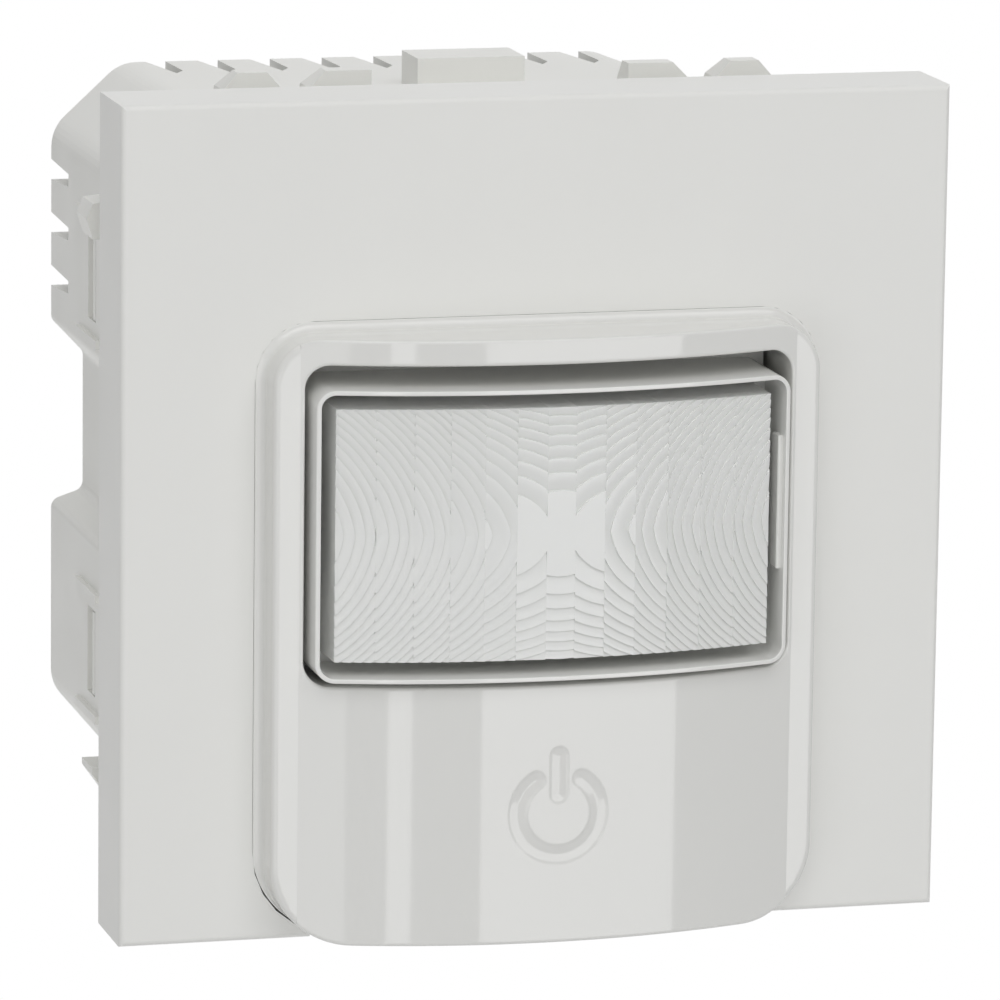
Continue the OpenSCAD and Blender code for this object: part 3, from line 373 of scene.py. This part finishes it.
def button_back(s):
    """What the button has behind: a pocket under the bow, the post on its web, the lip, the hinge arms and catches."""
    b, k = BUTTON, BEHIND
    parts = pocket(k["half"], k["low"], k["high"], b["back"], b["apex"] + k["wall"], s["button_radius"] - k["wall"])
    parts += [rod(False, b["apex"] + k["wall"] / 2, k["post_end"], k["post_r"], (0, k["post_z"])),
              block(-k["half"] - k["wall"] / 2, k["half"] + k["wall"] / 2, k["web"], k["web_end"],
                    k["post_z"] - k["post_r"] / 2, k["post_z"] + k["post_r"] / 2, k["cut"]),
              block(-k["lip"], k["lip"], k["root"], k["lip_end"], b["low"], b["low"] + k["lip_t"], k["cut"])]
    for side in (-1, 1):
        arm = sorted((side * k["arm"], side * k["arm_out"]))
        catch = sorted((side * k["catch"], side * k["catch_out"]))
        nib = sorted((side * k["nib"], side * k["nib_out"]))
        parts += [block(*arm, k["root"], k["arm_end"], k["pivot_z"] - k["arm_half"], k["pivot_z"] + k["arm_half"],
                        k["cut"]),
                  rod(True, side * k["trunnion"], side * k["trunnion_out"], k["trunnion_r"],
                      (k["pivot_y"], k["pivot_z"])),
                  block(*catch, k["root"], k["catch_end"], k["catch_low"], k["catch_high"], k["cut"]),
                  block(*nib, k["nib_front"], k["catch_end"], k["catch_low"], k["catch_high"], k["cut"])]
    return parts


def rounded_path(half, tall, r, side, corner):
    """Corner centres and outward directions round a rectangle, so that centre + r * direction is its rounded outline.

    Along a side the centre moves and the direction stays; round a corner the direction turns."""
    cx, cz = half - r, tall - r
    turn = np.linspace(0, math.pi / 2, corner, endpoint=False)
    run = np.linspace(0, 1, side, endpoint=False)[:, None]
    centres, ways = [], []
    for k, (a, b) in enumerate((((cx, -cz), (cx, cz)), ((cx, cz), (-cx, cz)), ((-cx, cz), (-cx, -cz)),
                                ((-cx, -cz), (cx, -cz)))):
        a, b = np.array(a), np.array(b)
        face = k * math.pi / 2
        centres += [a + run * (b - a), np.repeat(b[None], corner, 0)]
        ways += [np.repeat([[math.cos(face), math.sin(face)]], side, 0),
                 np.stack([np.cos(face + turn), np.sin(face + turn)], -1)]
    return np.concatenate(centres), np.concatenate(ways)


def collar_parts(s):
    """The collar as one closed profile carried round a rounded rectangle, its front following an upright cylinder.

    Profile points are (inset from the outline, depth behind the bowed front, fixed depth in its place or None)."""
    c = COLLAR
    lip, e = s["collar_lip"], c["edge"]
    ease = np.linspace(0, math.pi / 2, COUNT["collar_edge"])
    outer = [(e * (1 - math.sin(t)), e * (1 - math.cos(t))) for t in ease[::-1]]
    inner = [(lip - e * (1 - math.sin(t)), e * (1 - math.cos(t))) for t in ease]
    centre, way = rounded_path(c["half"], c["tall"], c["r"], COUNT["collar_side"], COUNT["collar_corner"])
    rows = []
    for inset, behind, fixed in ([(0.0, 0, c["back"]), (0.0, 0, c["shelf"])] + [(i, d, None) for i, d in outer]
                                 + [(i, d, None) for i, d in inner]
                                 + [(lip, 0, c["shelf"]), (c["base"], 0, c["shelf"]), (c["base"], 0, c["back"])]):
        at = centre + (c["r"] - inset) * way
        y = bowed(at[:, 0], c["apex"], c["radius"]) + behind if fixed is None else np.full(len(at), fixed)
        rows.append(np.stack([at[:, 0], y, at[:, 1]], -1))
    rows.append(rows[0])
    rows = np.array(rows)
    parts = [(rows, grid_faces(*rows.shape[:2], True))]
    for side, front in ((-1, c["hidden"]), (1, c["clip_front"])):
        x0, x1 = sorted((side * (c["half"] - c["clip_in"]), side * (c["half"] - lip / 2)))
        parts.append(block(x0, x1, front, c["clip_back"], c["clip_low"], c["clip_high"], e))
    return parts


def column_edges(count, half):
    """Edges of the lens's columns, which widen evenly from the middle to the sides."""
    k = np.arange(count + 1) - count / 2
    wide = LENS["growth"]
    step = (half - wide * (count / 2) ** 2) / (count / 2)
    return step * k + wide * k * np.abs(k)


def lens_column(left, right, s):
    """Points of the upper half of one lens column: a flat tangent to the bowed front, stepped back by its rings.

    Ring n has the radius zone * sqrt(n + start). From each ring outwards the depth falls from the full step to none at
    the next ring, as the square of the share left to go. Points next to a ring are moved onto it, along whichever grid
    line crosses it more steeply, and end half a step's width to their own side of it."""
    g = LENS
    middle, nudge = (left + right) / 2, g["half_step"]
    across = np.linspace(left + g["seam"], right - g["seam"], COUNT["lens_across"])
    upwards = np.linspace(0, g["tall"], COUNT["lens_up"])
    x, z = np.meshgrid(across, upwards)
    dx, dz = across[1] - across[0], upwards[1]
    cx, cz = middle + g["shift"] * math.sin(math.radians(90 * middle / g["reach"])), -g["middle"]
    number = np.maximum(np.rint(((x - cx) ** 2 + (z - cz) ** 2) / s["lens_zone"] ** 2 - g["start"]), 0)
    ring = s["lens_zone"] ** 2 * (number + g["start"])
    level = np.abs(z - cz) * dz >= np.abs(x - cx) * dx
    on_x = cx + np.sign(x - cx) * np.sqrt(np.maximum(ring - (z - cz) ** 2, 0))
    on_z = cz + np.sqrt(np.maximum(ring - (x - cx) ** 2, 0))
    move_z = level & (np.abs(z - on_z) < dz)
    move_x = ~level & (np.abs(x - on_x) < dx)
    move_z[[0, -1]] = False
    move_x[:, [0, -1]] = False
    z = np.where(move_z, on_z + nudge * np.where(z < on_z, -1, 1), z)
    x = np.where(move_x, on_x + nudge * np.where(x < on_x, -1, 1), x)
    far = np.hypot(x - cx, z - cz)
    number = np.floor((far / s["lens_zone"]) ** 2 - g["start"])
    inner = s["lens_zone"] * np.sqrt(np.maximum(number, 0) + g["start"])
    outer = s["lens_zone"] * np.sqrt(np.maximum(number, 0) + 1 + g["start"])
    depth = np.where(number < 0, 0, s["lens_groove"] * ((outer - far) / (outer - inner)) ** 2)
    tangent = middle / math.sqrt(g["radius"] ** 2 - middle ** 2)
    return np.stack([x, bowed(middle, g["apex"], g["radius"]) + (x - middle) * tangent + depth, z], -1)


def split_faces(points):
    """Triangles of a grid of points, each square cut along the diagonal whose ends differ less in depth."""
    squares = grid_faces(*points.shape[:2])
    depth = points[..., 1].reshape(-1)[squares]
    first = np.abs(depth[:, 0] - depth[:, 2]) <= np.abs(depth[:, 1] - depth[:, 3])
    one, other = squares[:, [0, 1, 2, 0, 2, 3]], squares[:, [0, 1, 3, 1, 2, 3]]
    return np.where(first[:, None], one, other).reshape(-1, 3)


def lens_parts(s):
    """The lens as columns of rings, its lower half the mirror of its upper one, on walls with a flange and a pocket."""
    g = LENS
    edges = column_edges(s["lens_columns"], g["half"])
    upper = np.concatenate([lens_column(a, b, s) for a, b in zip(edges[:-1], edges[1:])], 1)
    front = np.concatenate([upper[:0:-1] * (1, 1, -1), upper])
    rim = np.concatenate([front[0], front[1:, -1], front[-1, -2::-1], front[-2:0:-1, 0]])
    wide, tall, y = g["half"] + g["flange"], g["tall"] + g["flange"], g["seat"]
    flange = np.array([(-wide, y, -tall), (wide, y, -tall), (wide, y, tall), (-wide, y, tall)])
    parts = [(front, split_faces(front)), walls(rim, g["seat"], COUNT["lens_wall"]), walls(flange, g["back"], 2)]
    return parts + pocket(g["half"] - g["wall"], g["wall"] - g["tall"], g["tall"] - g["wall"], g["back"],
                          g["apex"] + g["wall"], g["radius"] - g["wall"])


# Finishes

# Noise behind a finish's colour and roughness with its usual range, and behind its relief with its height in mm
DRIFT = dict(detail=4.0, rough=0.55, low=0.3, high=0.7)
RELIEF = dict(detail=3.0, height=0.05)
# Copper tracks under the solder mask, in millimetres: the pattern's unit, pitch, width and length; and how much lighter
# they show
TRACKS = dict(unit=9.0, pitch=1.8, width=0.27, length=4.05, gain=1.9, lift=0.01)
# What the boards carry: finish, colour, settings and the solids that wear it
CARRIED = (
    # Nickel plated steel cans and screws: bright, faintly drawn
    ("nickel_plated_steel", "bdbcb6",
     dict(rough=0.28, swing=0.08, grain=0.8, shade=0.85, bump=0.06, bump_size=0.2, Metallic=1.0),
     ("pir_can", "board_screws")),
    # Silicon filter window: near black with a purple cast and a hard gloss
    ("silicon_infrared_filter", "2a2128", dict(rough=0.08, swing=0.02, grain=1.0, shade=0.8, IOR=1.9), ("pir_window",)),
    # Clear and red epoxy, cast: glassy domes
    ("epoxy_cast_clear", "dfe6e8",
     dict(rough=0.06, swing=0.02, grain=1.0, shade=0.95, IOR=1.54, **{"Transmission Weight": 0.85}), ("light_sensor",)),
    ("epoxy_cast_red", "b3201a",
     dict(rough=0.1, swing=0.03, grain=0.8, shade=0.85, IOR=1.54, **{"Transmission Weight": 0.3}), ("status_led",)),
    # Black moulded nylon: matt, fine grit
    ("nylon_moulded_black", "1f1f21", dict(rough=0.5, swing=0.08, grain=0.7, shade=0.7, bump=0.25, bump_size=0.12),
     ("controller_chip", "tact_switch", "pin_header", "header_socket", "relay", "rectifier")),
    # Ferrite drum: dark grey, grainy
    ("ferrite_sintered", "34353a", dict(rough=0.6, swing=0.08, grain=0.5, shade=0.7, bump=0.35, bump_size=0.15),
     ("choke",)),
    # Ivory acetal: waxy, nearly smooth
    ("acetal_moulded_ivory", "e0d8bd", dict(rough=0.38, swing=0.05, grain=1.0, shade=0.95, bump=0.08, bump_size=0.2),
     ("tact_plunger",)),
    # Blue nylon cases: dull, fine grit
    ("nylon_moulded_blue", "24508f", dict(rough=0.42, swing=0.06, grain=0.8, shade=0.85, bump=0.15, bump_size=0.15),
     ("trimmer_bodies",)),
    # Blue epoxy, dipped: glossy, lumpy skin
    ("epoxy_dipped_blue", "2c5aa8", dict(rough=0.3, swing=0.08, grain=1.2, shade=0.8, bump=0.3, bump_size=0.6),
     ("varistor",)),
    # Orange acetal dials: waxy, nearly smooth
    ("acetal_moulded_orange", "d9762a", dict(rough=0.38, swing=0.05, grain=0.9, shade=0.9, bump=0.1, bump_size=0.2),
     ("time_dial", "lux_dial")),
    # Yellow polyester case: soft gloss, faintly uneven
    ("polyester_case_yellow", "c99a2a", dict(rough=0.32, swing=0.06, grain=1.0, shade=0.88, bump=0.12, bump_size=0.3),
     ("film_capacitor",)),
    # Shrunk dark sleeve: tight, glossy
    ("pet_sleeve_dark", "1c2036", dict(rough=0.25, swing=0.06, grain=1.4, shade=0.8, bump=0.05, bump_size=0.4),
     ("smoothing_capacitor",)),
    # Brown phenolic: dull, gritty
    ("phenolic_moulded_brown", "5a3a28", dict(rough=0.45, swing=0.06, grain=0.8, shade=0.8, bump=0.2, bump_size=0.15),
     ("fuse",)),
    # Drawn brass pins: warm and bright
    ("brass_drawn", "c7a24e",
     dict(rough=0.3, swing=0.08, grain=0.6, shade=0.85, bump=0.05, bump_size=0.1, Metallic=1.0), ("header_pins",)),
)


def add(tree, kind, links=None, values=None, **settings):
    """Adds a shader node with its settings, input values and links from other nodes' outputs."""
    node = tree.nodes.new(kind)
    for key, value in settings.items():
        setattr(node, key, value)
    for key, value in (values or {}).items():
        node.inputs[key].default_value = value
    for key, source in (links or {}).items():
        tree.links.new(source, node.inputs[key])
    return node


def finish(name, colour, rough, swing, grain, shade, bump=0.0, bump_size=0.4, **sockets):
    """A moulded or plated finish: colour and roughness that drift over grain mm, and a fine relief of bump_size mm.

    The roughness swings by swing either way, and the darker patches are shade times the colour."""
    material = bpy.data.materials.new(name)
    material.use_nodes = True
    tree = material.node_tree
    tree.nodes.clear()
    place = add(tree, "ShaderNodeTexCoord")
    drift = add(tree, "ShaderNodeTexNoise", {"Vector": place.outputs["Object"]},
                {"Scale": 1.0 / (grain * MM), "Detail": DRIFT["detail"], "Roughness": DRIFT["rough"]})
    darker = tuple(c * shade for c in colour)
    tint = add(tree, "ShaderNodeMix", {"Factor": drift.outputs["Fac"]},
               {"A": (*darker, 1.0), "B": (*colour, 1.0)}, data_type="RGBA")
    sheen = add(tree, "ShaderNodeMapRange", {"Value": drift.outputs["Fac"]},
                {"From Min": DRIFT["low"], "From Max": DRIFT["high"], "To Min": rough - swing, "To Max": rough + swing})
    links = {"Base Color": tint.outputs["Result"], "Roughness": sheen.outputs["Result"]}
    if bump:
        fine = add(tree, "ShaderNodeTexNoise", {"Vector": place.outputs["Object"]},
                   {"Scale": 1.0 / (bump_size * MM), "Detail": RELIEF["detail"]})
        relief = add(tree, "ShaderNodeBump", {"Height": fine.outputs["Fac"]},
                     {"Strength": bump, "Distance": RELIEF["height"] * MM})
        links["Normal"] = relief.outputs["Normal"]
    shader = add(tree, "ShaderNodeBsdfPrincipled", links, sockets)
    add(tree, "ShaderNodeOutputMaterial", {"Surface": shader.outputs["BSDF"]})
    return material


def dress(material, *nodes):
    """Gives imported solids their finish."""
    for name in nodes:
        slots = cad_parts[name].data.materials
        slots.clear()
        slots.append(material)


class SWITCH_OT_push_button(bpy.types.Operator):
    """Makes the bowed push button with its window and engraved power symbol"""

    bl_idname = "switch.push_button"
    bl_label = "Push Button"

    def execute(self, context):
        s = sizes()
        colour = tuple(context.scene.switch_colours.gloss)
        # Moulded polycarbonate from a polished tool: a clear mirror of the studio's panels, faintly uneven
        gloss = finish("polycarbonate_polished", colour, rough=0.05, swing=0.01, grain=6.0, shade=0.985, IOR=1.58)
        add_piece("button_front", button_parts(s) + button_back(s), "button", ["push_button"], gloss)
        return {"FINISHED"}


class SWITCH_OT_lens_collar(bpy.types.Operator):
    """Makes the thin collar round the lens"""

    bl_idname = "switch.lens_collar"
    bl_label = "Lens Collar"

    def execute(self, context):
        colour = tuple(context.scene.switch_colours.plate)
        # Moulded polycarbonate, thin walled: bright lip edges where the small roundings catch the light
        gloss = finish("polycarbonate_collar", colour, rough=0.1, swing=0.02, grain=4.0, shade=0.98, IOR=1.58)
        add_piece("collar_ring", collar_parts(sizes()), "switch", ["lens_collar"], gloss)
        return {"FINISHED"}


class SWITCH_OT_fresnel_lens(bpy.types.Operator):
    """Makes the milky lens with its columns of ring grooves"""

    bl_idname = "switch.fresnel_lens"
    bl_label = "Fresnel Lens"

    def execute(self, context):
        colour = tuple(context.scene.switch_colours.lens)
        # High density polyethylene sheet, pressed: milky, soft gloss, light bleeds a little through the ridges
        bleed = {"Subsurface Weight": 0.25, "Subsurface Radius": (1.0, 1.0, 0.95), "Subsurface Scale": 0.6 * MM}
        milky = finish("polyethylene_pressed_milky", colour, rough=0.22, swing=0.03, grain=2.0, shade=0.985, IOR=1.52,
                       **bleed)
        add_piece("lens_sheet", lens_parts(sizes()), "switch", ["fresnel_lens"], milky, LENS_CRISP_DEG)
        return {"FINISHED"}


class SWITCH_OT_casing(bpy.types.Operator):
    """Finishes the cover plate, chassis and rear housing"""

    bl_idname = "switch.casing"
    bl_label = "Casing"

    def execute(self, context):
        colours = context.scene.switch_colours
        # Moulded polycarbonate, silky: one broad soft sheen over the plate's front, quieter than the button
        silky = finish("polycarbonate_plate", tuple(colours.plate), rough=0.38, swing=0.03, grain=8.0, shade=0.99,
                       bump=0.03, bump_size=1.2, IOR=1.5, **{"Specular IOR Level": 0.35})
        dress(silky, "cover_plate")
        # Moulded polycarbonate straight from an eroded tool: satin, with a fine even grit
        satin = finish("polycarbonate_satin", tuple(colours.satin), rough=0.42, swing=0.05, grain=3.0, shade=0.97,
                       bump=0.12, bump_size=0.16, IOR=1.58)
        dress(satin, "chassis", "rear_housing")
        return {"FINISHED"}


class SWITCH_OT_electronics(bpy.types.Operator):
    """Finishes the boards and what they carry"""

    bl_idname = "switch.electronics"
    bl_label = "Electronics"

    def execute(self, context):
        colour = tuple(context.scene.switch_colours.board)
        # Glass fibre board under solder mask: green varnish, lighter in rows 1.8 mm apart where copper tracks lie below
        board = finish("solder_mask_on_glass_fibre", colour, rough=0.35, swing=0.05, grain=1.2, shade=0.8, bump=0.1,
                       bump_size=0.3)
        tree, t = board.node_tree, TRACKS
        shader = next(n for n in tree.nodes if n.type == "BSDF_PRINCIPLED")
        base = shader.inputs["Base Color"].links[0].from_socket
        place = next(n for n in tree.nodes if n.type == "TEX_COORD")
        upright = add(tree, "ShaderNodeMapping", {"Vector": place.outputs["Object"]},
                      {"Rotation": (math.radians(90), 0, 0)})
        black, white = (0, 0, 0, 1), (1, 1, 1, 1)
        tracks = add(tree, "ShaderNodeTexBrick", {"Vector": upright.outputs["Vector"]},
                     {"Color1": black, "Color2": black, "Mortar": white, "Scale": 1.0 / (t["unit"] * MM),
                      "Mortar Size": t["width"] / t["unit"], "Brick Width": t["length"] / t["unit"],
                      "Row Height": t["pitch"] / t["unit"]})
        copper = [min(c * t["gain"] + t["lift"], 1) for c in colour]
        lighter = add(tree, "ShaderNodeMix", {"Factor": tracks.outputs["Color"], "A": base}, {"B": (*copper, 1)},
                      data_type="RGBA")
        tree.links.new(lighter.outputs["Result"], shader.inputs["Base Color"])
        dress(board, "sensor_board", "power_board")
        for name, shown, settings, nodes in CARRIED:
            dress(finish(name, linear(shown), **settings), *nodes)
        return {"FINISHED"}


class SWITCH_OT_terminals(bpy.types.Operator):
    """Finishes the clamp terminals"""

    bl_idname = "switch.terminals"
    bl_label = "Terminals"

    def execute(self, context):
        # Zinc plated steel, pressed and tumbled: soft metal gloss with pale and dark cloudiness
        zinc = finish("zinc_plated_steel", linear("b4b3ab"), rough=0.34, swing=0.1, grain=0.7, shade=0.8, bump=0.12,
                      bump_size=0.2, Metallic=1.0)
        dress(zinc, *["clamp_cage_%d" % i for i in range(1, 5)], *["terminal_screw_%d" % i for i in range(1, 5)])
        # Rolled brass strip: warm and bright, finely streaked
        brass = finish("brass_rolled", linear("c9a44d"), rough=0.3, swing=0.08, grain=0.8, shade=0.85, bump=0.08,
                       bump_size=0.12, Metallic=1.0)
        dress(brass, "terminal_tongues")
        return {"FINISHED"}


# Stage, in metres and degrees, and radiance where 1 is white

# Panels round the switch by azimuth from the front, positive to the right: left edge, right edge, foot, top, radiance,
# and whether the panel is only a card that shows in gloss
PANELS = (("right", 2.3, 36.4, -0.33, 0.14, 1.8, True),
          ("strip", -13.5, -9.4, -0.33, 0.14, 1.8, True),
          ("left", -58.0, -20.5, -0.33, 0.14, 0.9, False))
PANEL_AWAY = 0.95
# Panels over the switch: place, width, height and radiance
OVERHEAD = (("key", (0.05, -0.65, 0.68), 0.9, 0.6, 1.85), ("top", (0.1, 0.1, 1.0), 0.9, 0.7, 0.6))
# Radiance of the surround as light on the switch, and as seen directly and in mirrors
SURROUND = dict(light=0.34, seen=1.0)
FLOOR = dict(half=6.0, near=-4.0, far=8.0, level=-0.35, count=25)
# The photograph's camera: angles in radians, distance from the target, and the target and lens in millimetres
CAMERA = dict(azimuth=-0.2635585, elevation=0.1972713, roll=0.0127791, away=0.395539, target=(-2.0211, -5.4, 0.8903),
              sensor=36.0, lens=269.52, clip=(0.01, 50.0))


class SWITCH_OT_stage(bpy.types.Operator):
    """Makes the floor, the soft panels, the world and the camera"""

    bl_idname = "switch.stage"
    bl_label = "Stage"

    def execute(self, context):
        scene = context.scene
        scene.view_settings.view_transform = "Standard"
        self.floor(scene)
        self.world(scene)
        for panel in PANELS:
            self.panel(scene, *panel)
        for panel in OVERHEAD:
            self.above(scene, *panel)
        self.camera(scene)
        return {"FINISHED"}

    @staticmethod
    def white_to_eye(tree):
        """One for rays from the camera, mirrors and glass, and zero for the rest."""
        path = add(tree, "ShaderNodeLightPath")
        first = add(tree, "ShaderNodeMath", {0: path.outputs["Is Camera Ray"], 1: path.outputs["Is Glossy Ray"]},
                    operation="MAXIMUM")
        return add(tree, "ShaderNodeMath", {0: first.outputs[0], 1: path.outputs["Is Transmission Ray"]},
                   operation="MAXIMUM").outputs[0]

    def floor(self, scene):
        """A level square paper sheet well below the switch, which shows plain white to the eye and in mirrors."""
        f = FLOOR
        u, v = np.meshgrid(np.linspace(-f["half"], f["half"], f["count"]),
                           np.linspace(f["near"], f["far"], f["count"]))
        points = np.stack([u, v, np.full_like(u, f["level"])], -1)
        mesh = bpy.data.meshes.new("floor")
        mesh.from_pydata(points.reshape(-1, 3), [], grid_faces(*points.shape[:2]).tolist())
        material = bpy.data.materials.new("floor_paper")
        material.use_nodes = True
        tree = material.node_tree
        tree.nodes.clear()
        paper = add(tree, "ShaderNodeBsdfDiffuse", values={"Color": (*scene.switch_colours.floor, 1)})
        glow = add(tree, "ShaderNodeEmission", values={"Strength": 1.0})
        both = add(tree, "ShaderNodeMixShader",
                   {0: self.white_to_eye(tree), 1: paper.outputs[0], 2: glow.outputs[0]})
        add(tree, "ShaderNodeOutputMaterial", {"Surface": both.outputs[0]})
        mesh.materials.append(material)
        floor = bpy.data.objects.new("floor", mesh)
        scene.collection.objects.link(floor)

    def world(self, scene):
        """A white surround to the eye and in mirrors, and a dimmer even light otherwise."""
        world = bpy.data.worlds.new("studio")
        scene.world = world
        world.use_nodes = True
        tree = world.node_tree
        tree.nodes.clear()
        level = add(tree, "ShaderNodeMapRange", {"Value": self.white_to_eye(tree)},
                    {"To Min": SURROUND["light"], "To Max": SURROUND["seen"]})
        ground = add(tree, "ShaderNodeBackground", {"Strength": level.outputs["Result"]}, {"Color": (1, 1, 1, 1)})
        add(tree, "ShaderNodeOutputWorld", {"Surface": ground.outputs[0]})

    @staticmethod
    def lamp(scene, name, wide, tall, radiance, place, basis):
        """A soft rectangular lamp of that radiance, out of the camera's sight."""
        data = bpy.data.lights.new("panel_" + name, "AREA")
        data.shape = "RECTANGLE"
        data.size, data.size_y = wide, tall
        data.energy = radiance * math.pi * wide * tall
        lamp = bpy.data.objects.new("panel_" + name, data)
        lamp.matrix_world = Matrix.Translation(place) @ basis.to_4x4()
        lamp.visible_camera = False
        scene.collection.objects.link(lamp)
        return lamp

    def panel(self, scene, name, left, right, low, high, radiance, card):
        """A soft upright panel, facing the switch, that fills the azimuths from left to right."""
        mid, half = math.radians((left + right) / 2), math.radians((right - left) / 2)
        back = Vector((math.sin(mid), -math.cos(mid), 0))
        side = Vector((math.cos(mid), math.sin(mid), 0))
        basis = Matrix((side, Vector((0, 0, 1)), back)).transposed()
        place = back * PANEL_AWAY + Vector((0, 0, (low + high) / 2))
        lamp = self.lamp(scene, name, 2 * PANEL_AWAY * math.tan(half), high - low, radiance, place, basis)
        lamp.visible_diffuse = not card

    def above(self, scene, name, place, wide, tall, radiance):
        """A soft panel over the switch, facing it from that place."""
        self.lamp(scene, name, wide, tall, radiance, place, Vector(place).to_track_quat("Z", "Y").to_matrix())

    def camera(self, scene):
        """The photograph's camera: left of and above the front, with a slight roll."""
        c = CAMERA
        azimuth, elevation, roll = c["azimuth"], c["elevation"], c["roll"]
        target = np.array(c["target"]) * MM
        back = np.array([math.sin(azimuth) * math.cos(elevation), -math.cos(azimuth) * math.cos(elevation),
                         math.sin(elevation)])
        right = np.array([math.cos(azimuth), math.sin(azimuth), 0.0])
        up = np.cross(right, -back)
        across = math.cos(roll) * right + math.sin(roll) * up
        above = -math.sin(roll) * right + math.cos(roll) * up
        data = bpy.data.cameras.new("camera")
        data.sensor_width, data.lens = c["sensor"], c["lens"]
        data.clip_start, data.clip_end = c["clip"]
        camera = bpy.data.objects.new("camera", data)
        basis = Matrix((Vector(across), Vector(above), Vector(back))).transposed()
        camera.matrix_world = Matrix.Translation(Vector(target + back * c["away"])) @ basis.to_4x4()
        scene.collection.objects.link(camera)
        scene.camera = camera


class SWITCH_PT_panel(bpy.types.Panel):
    """Lists the switch's pieces and their sizes"""

    bl_label = "Motion Sensor Switch"
    bl_idname = "SWITCH_PT_panel"
    bl_space_type = "VIEW_3D"
    bl_region_type = "UI"
    bl_category = "Switch"

    def draw(self, context):
        for group in (context.scene.switch_sizes, context.scene.switch_colours):
            for name in group.__annotations__:
                self.layout.prop(group, name)
        for operator in OPERATORS:
            self.layout.operator(operator.bl_idname)


OPERATORS = (SWITCH_OT_push_button, SWITCH_OT_lens_collar, SWITCH_OT_fresnel_lens, SWITCH_OT_casing,
             SWITCH_OT_electronics, SWITCH_OT_terminals, SWITCH_OT_stage)
CLASSES = (SwitchSizes, SwitchColours, *OPERATORS, SWITCH_PT_panel)


def register():
    """Adds the classes and the scene's sizes and colours."""
    for item in CLASSES:
        bpy.utils.register_class(item)
    bpy.types.Scene.switch_sizes = bpy.props.PointerProperty(type=SwitchSizes)
    bpy.types.Scene.switch_colours = bpy.props.PointerProperty(type=SwitchColours)


def unregister():
    """Takes away what register added, in reverse order."""
    del bpy.types.Scene.switch_colours
    del bpy.types.Scene.switch_sizes
    for item in reversed(CLASSES):
        bpy.utils.unregister_class(item)


def main():
    """Makes every piece in order."""
    register()
    bpy.ops.switch.push_button()
    bpy.ops.switch.lens_collar()
    bpy.ops.switch.fresnel_lens()
    bpy.ops.switch.casing()
    bpy.ops.switch.electronics()
    bpy.ops.switch.terminals()
    bpy.ops.switch.stage()
    bpy.context.view_layer.update()


if __name__ == "__main__":
    main()
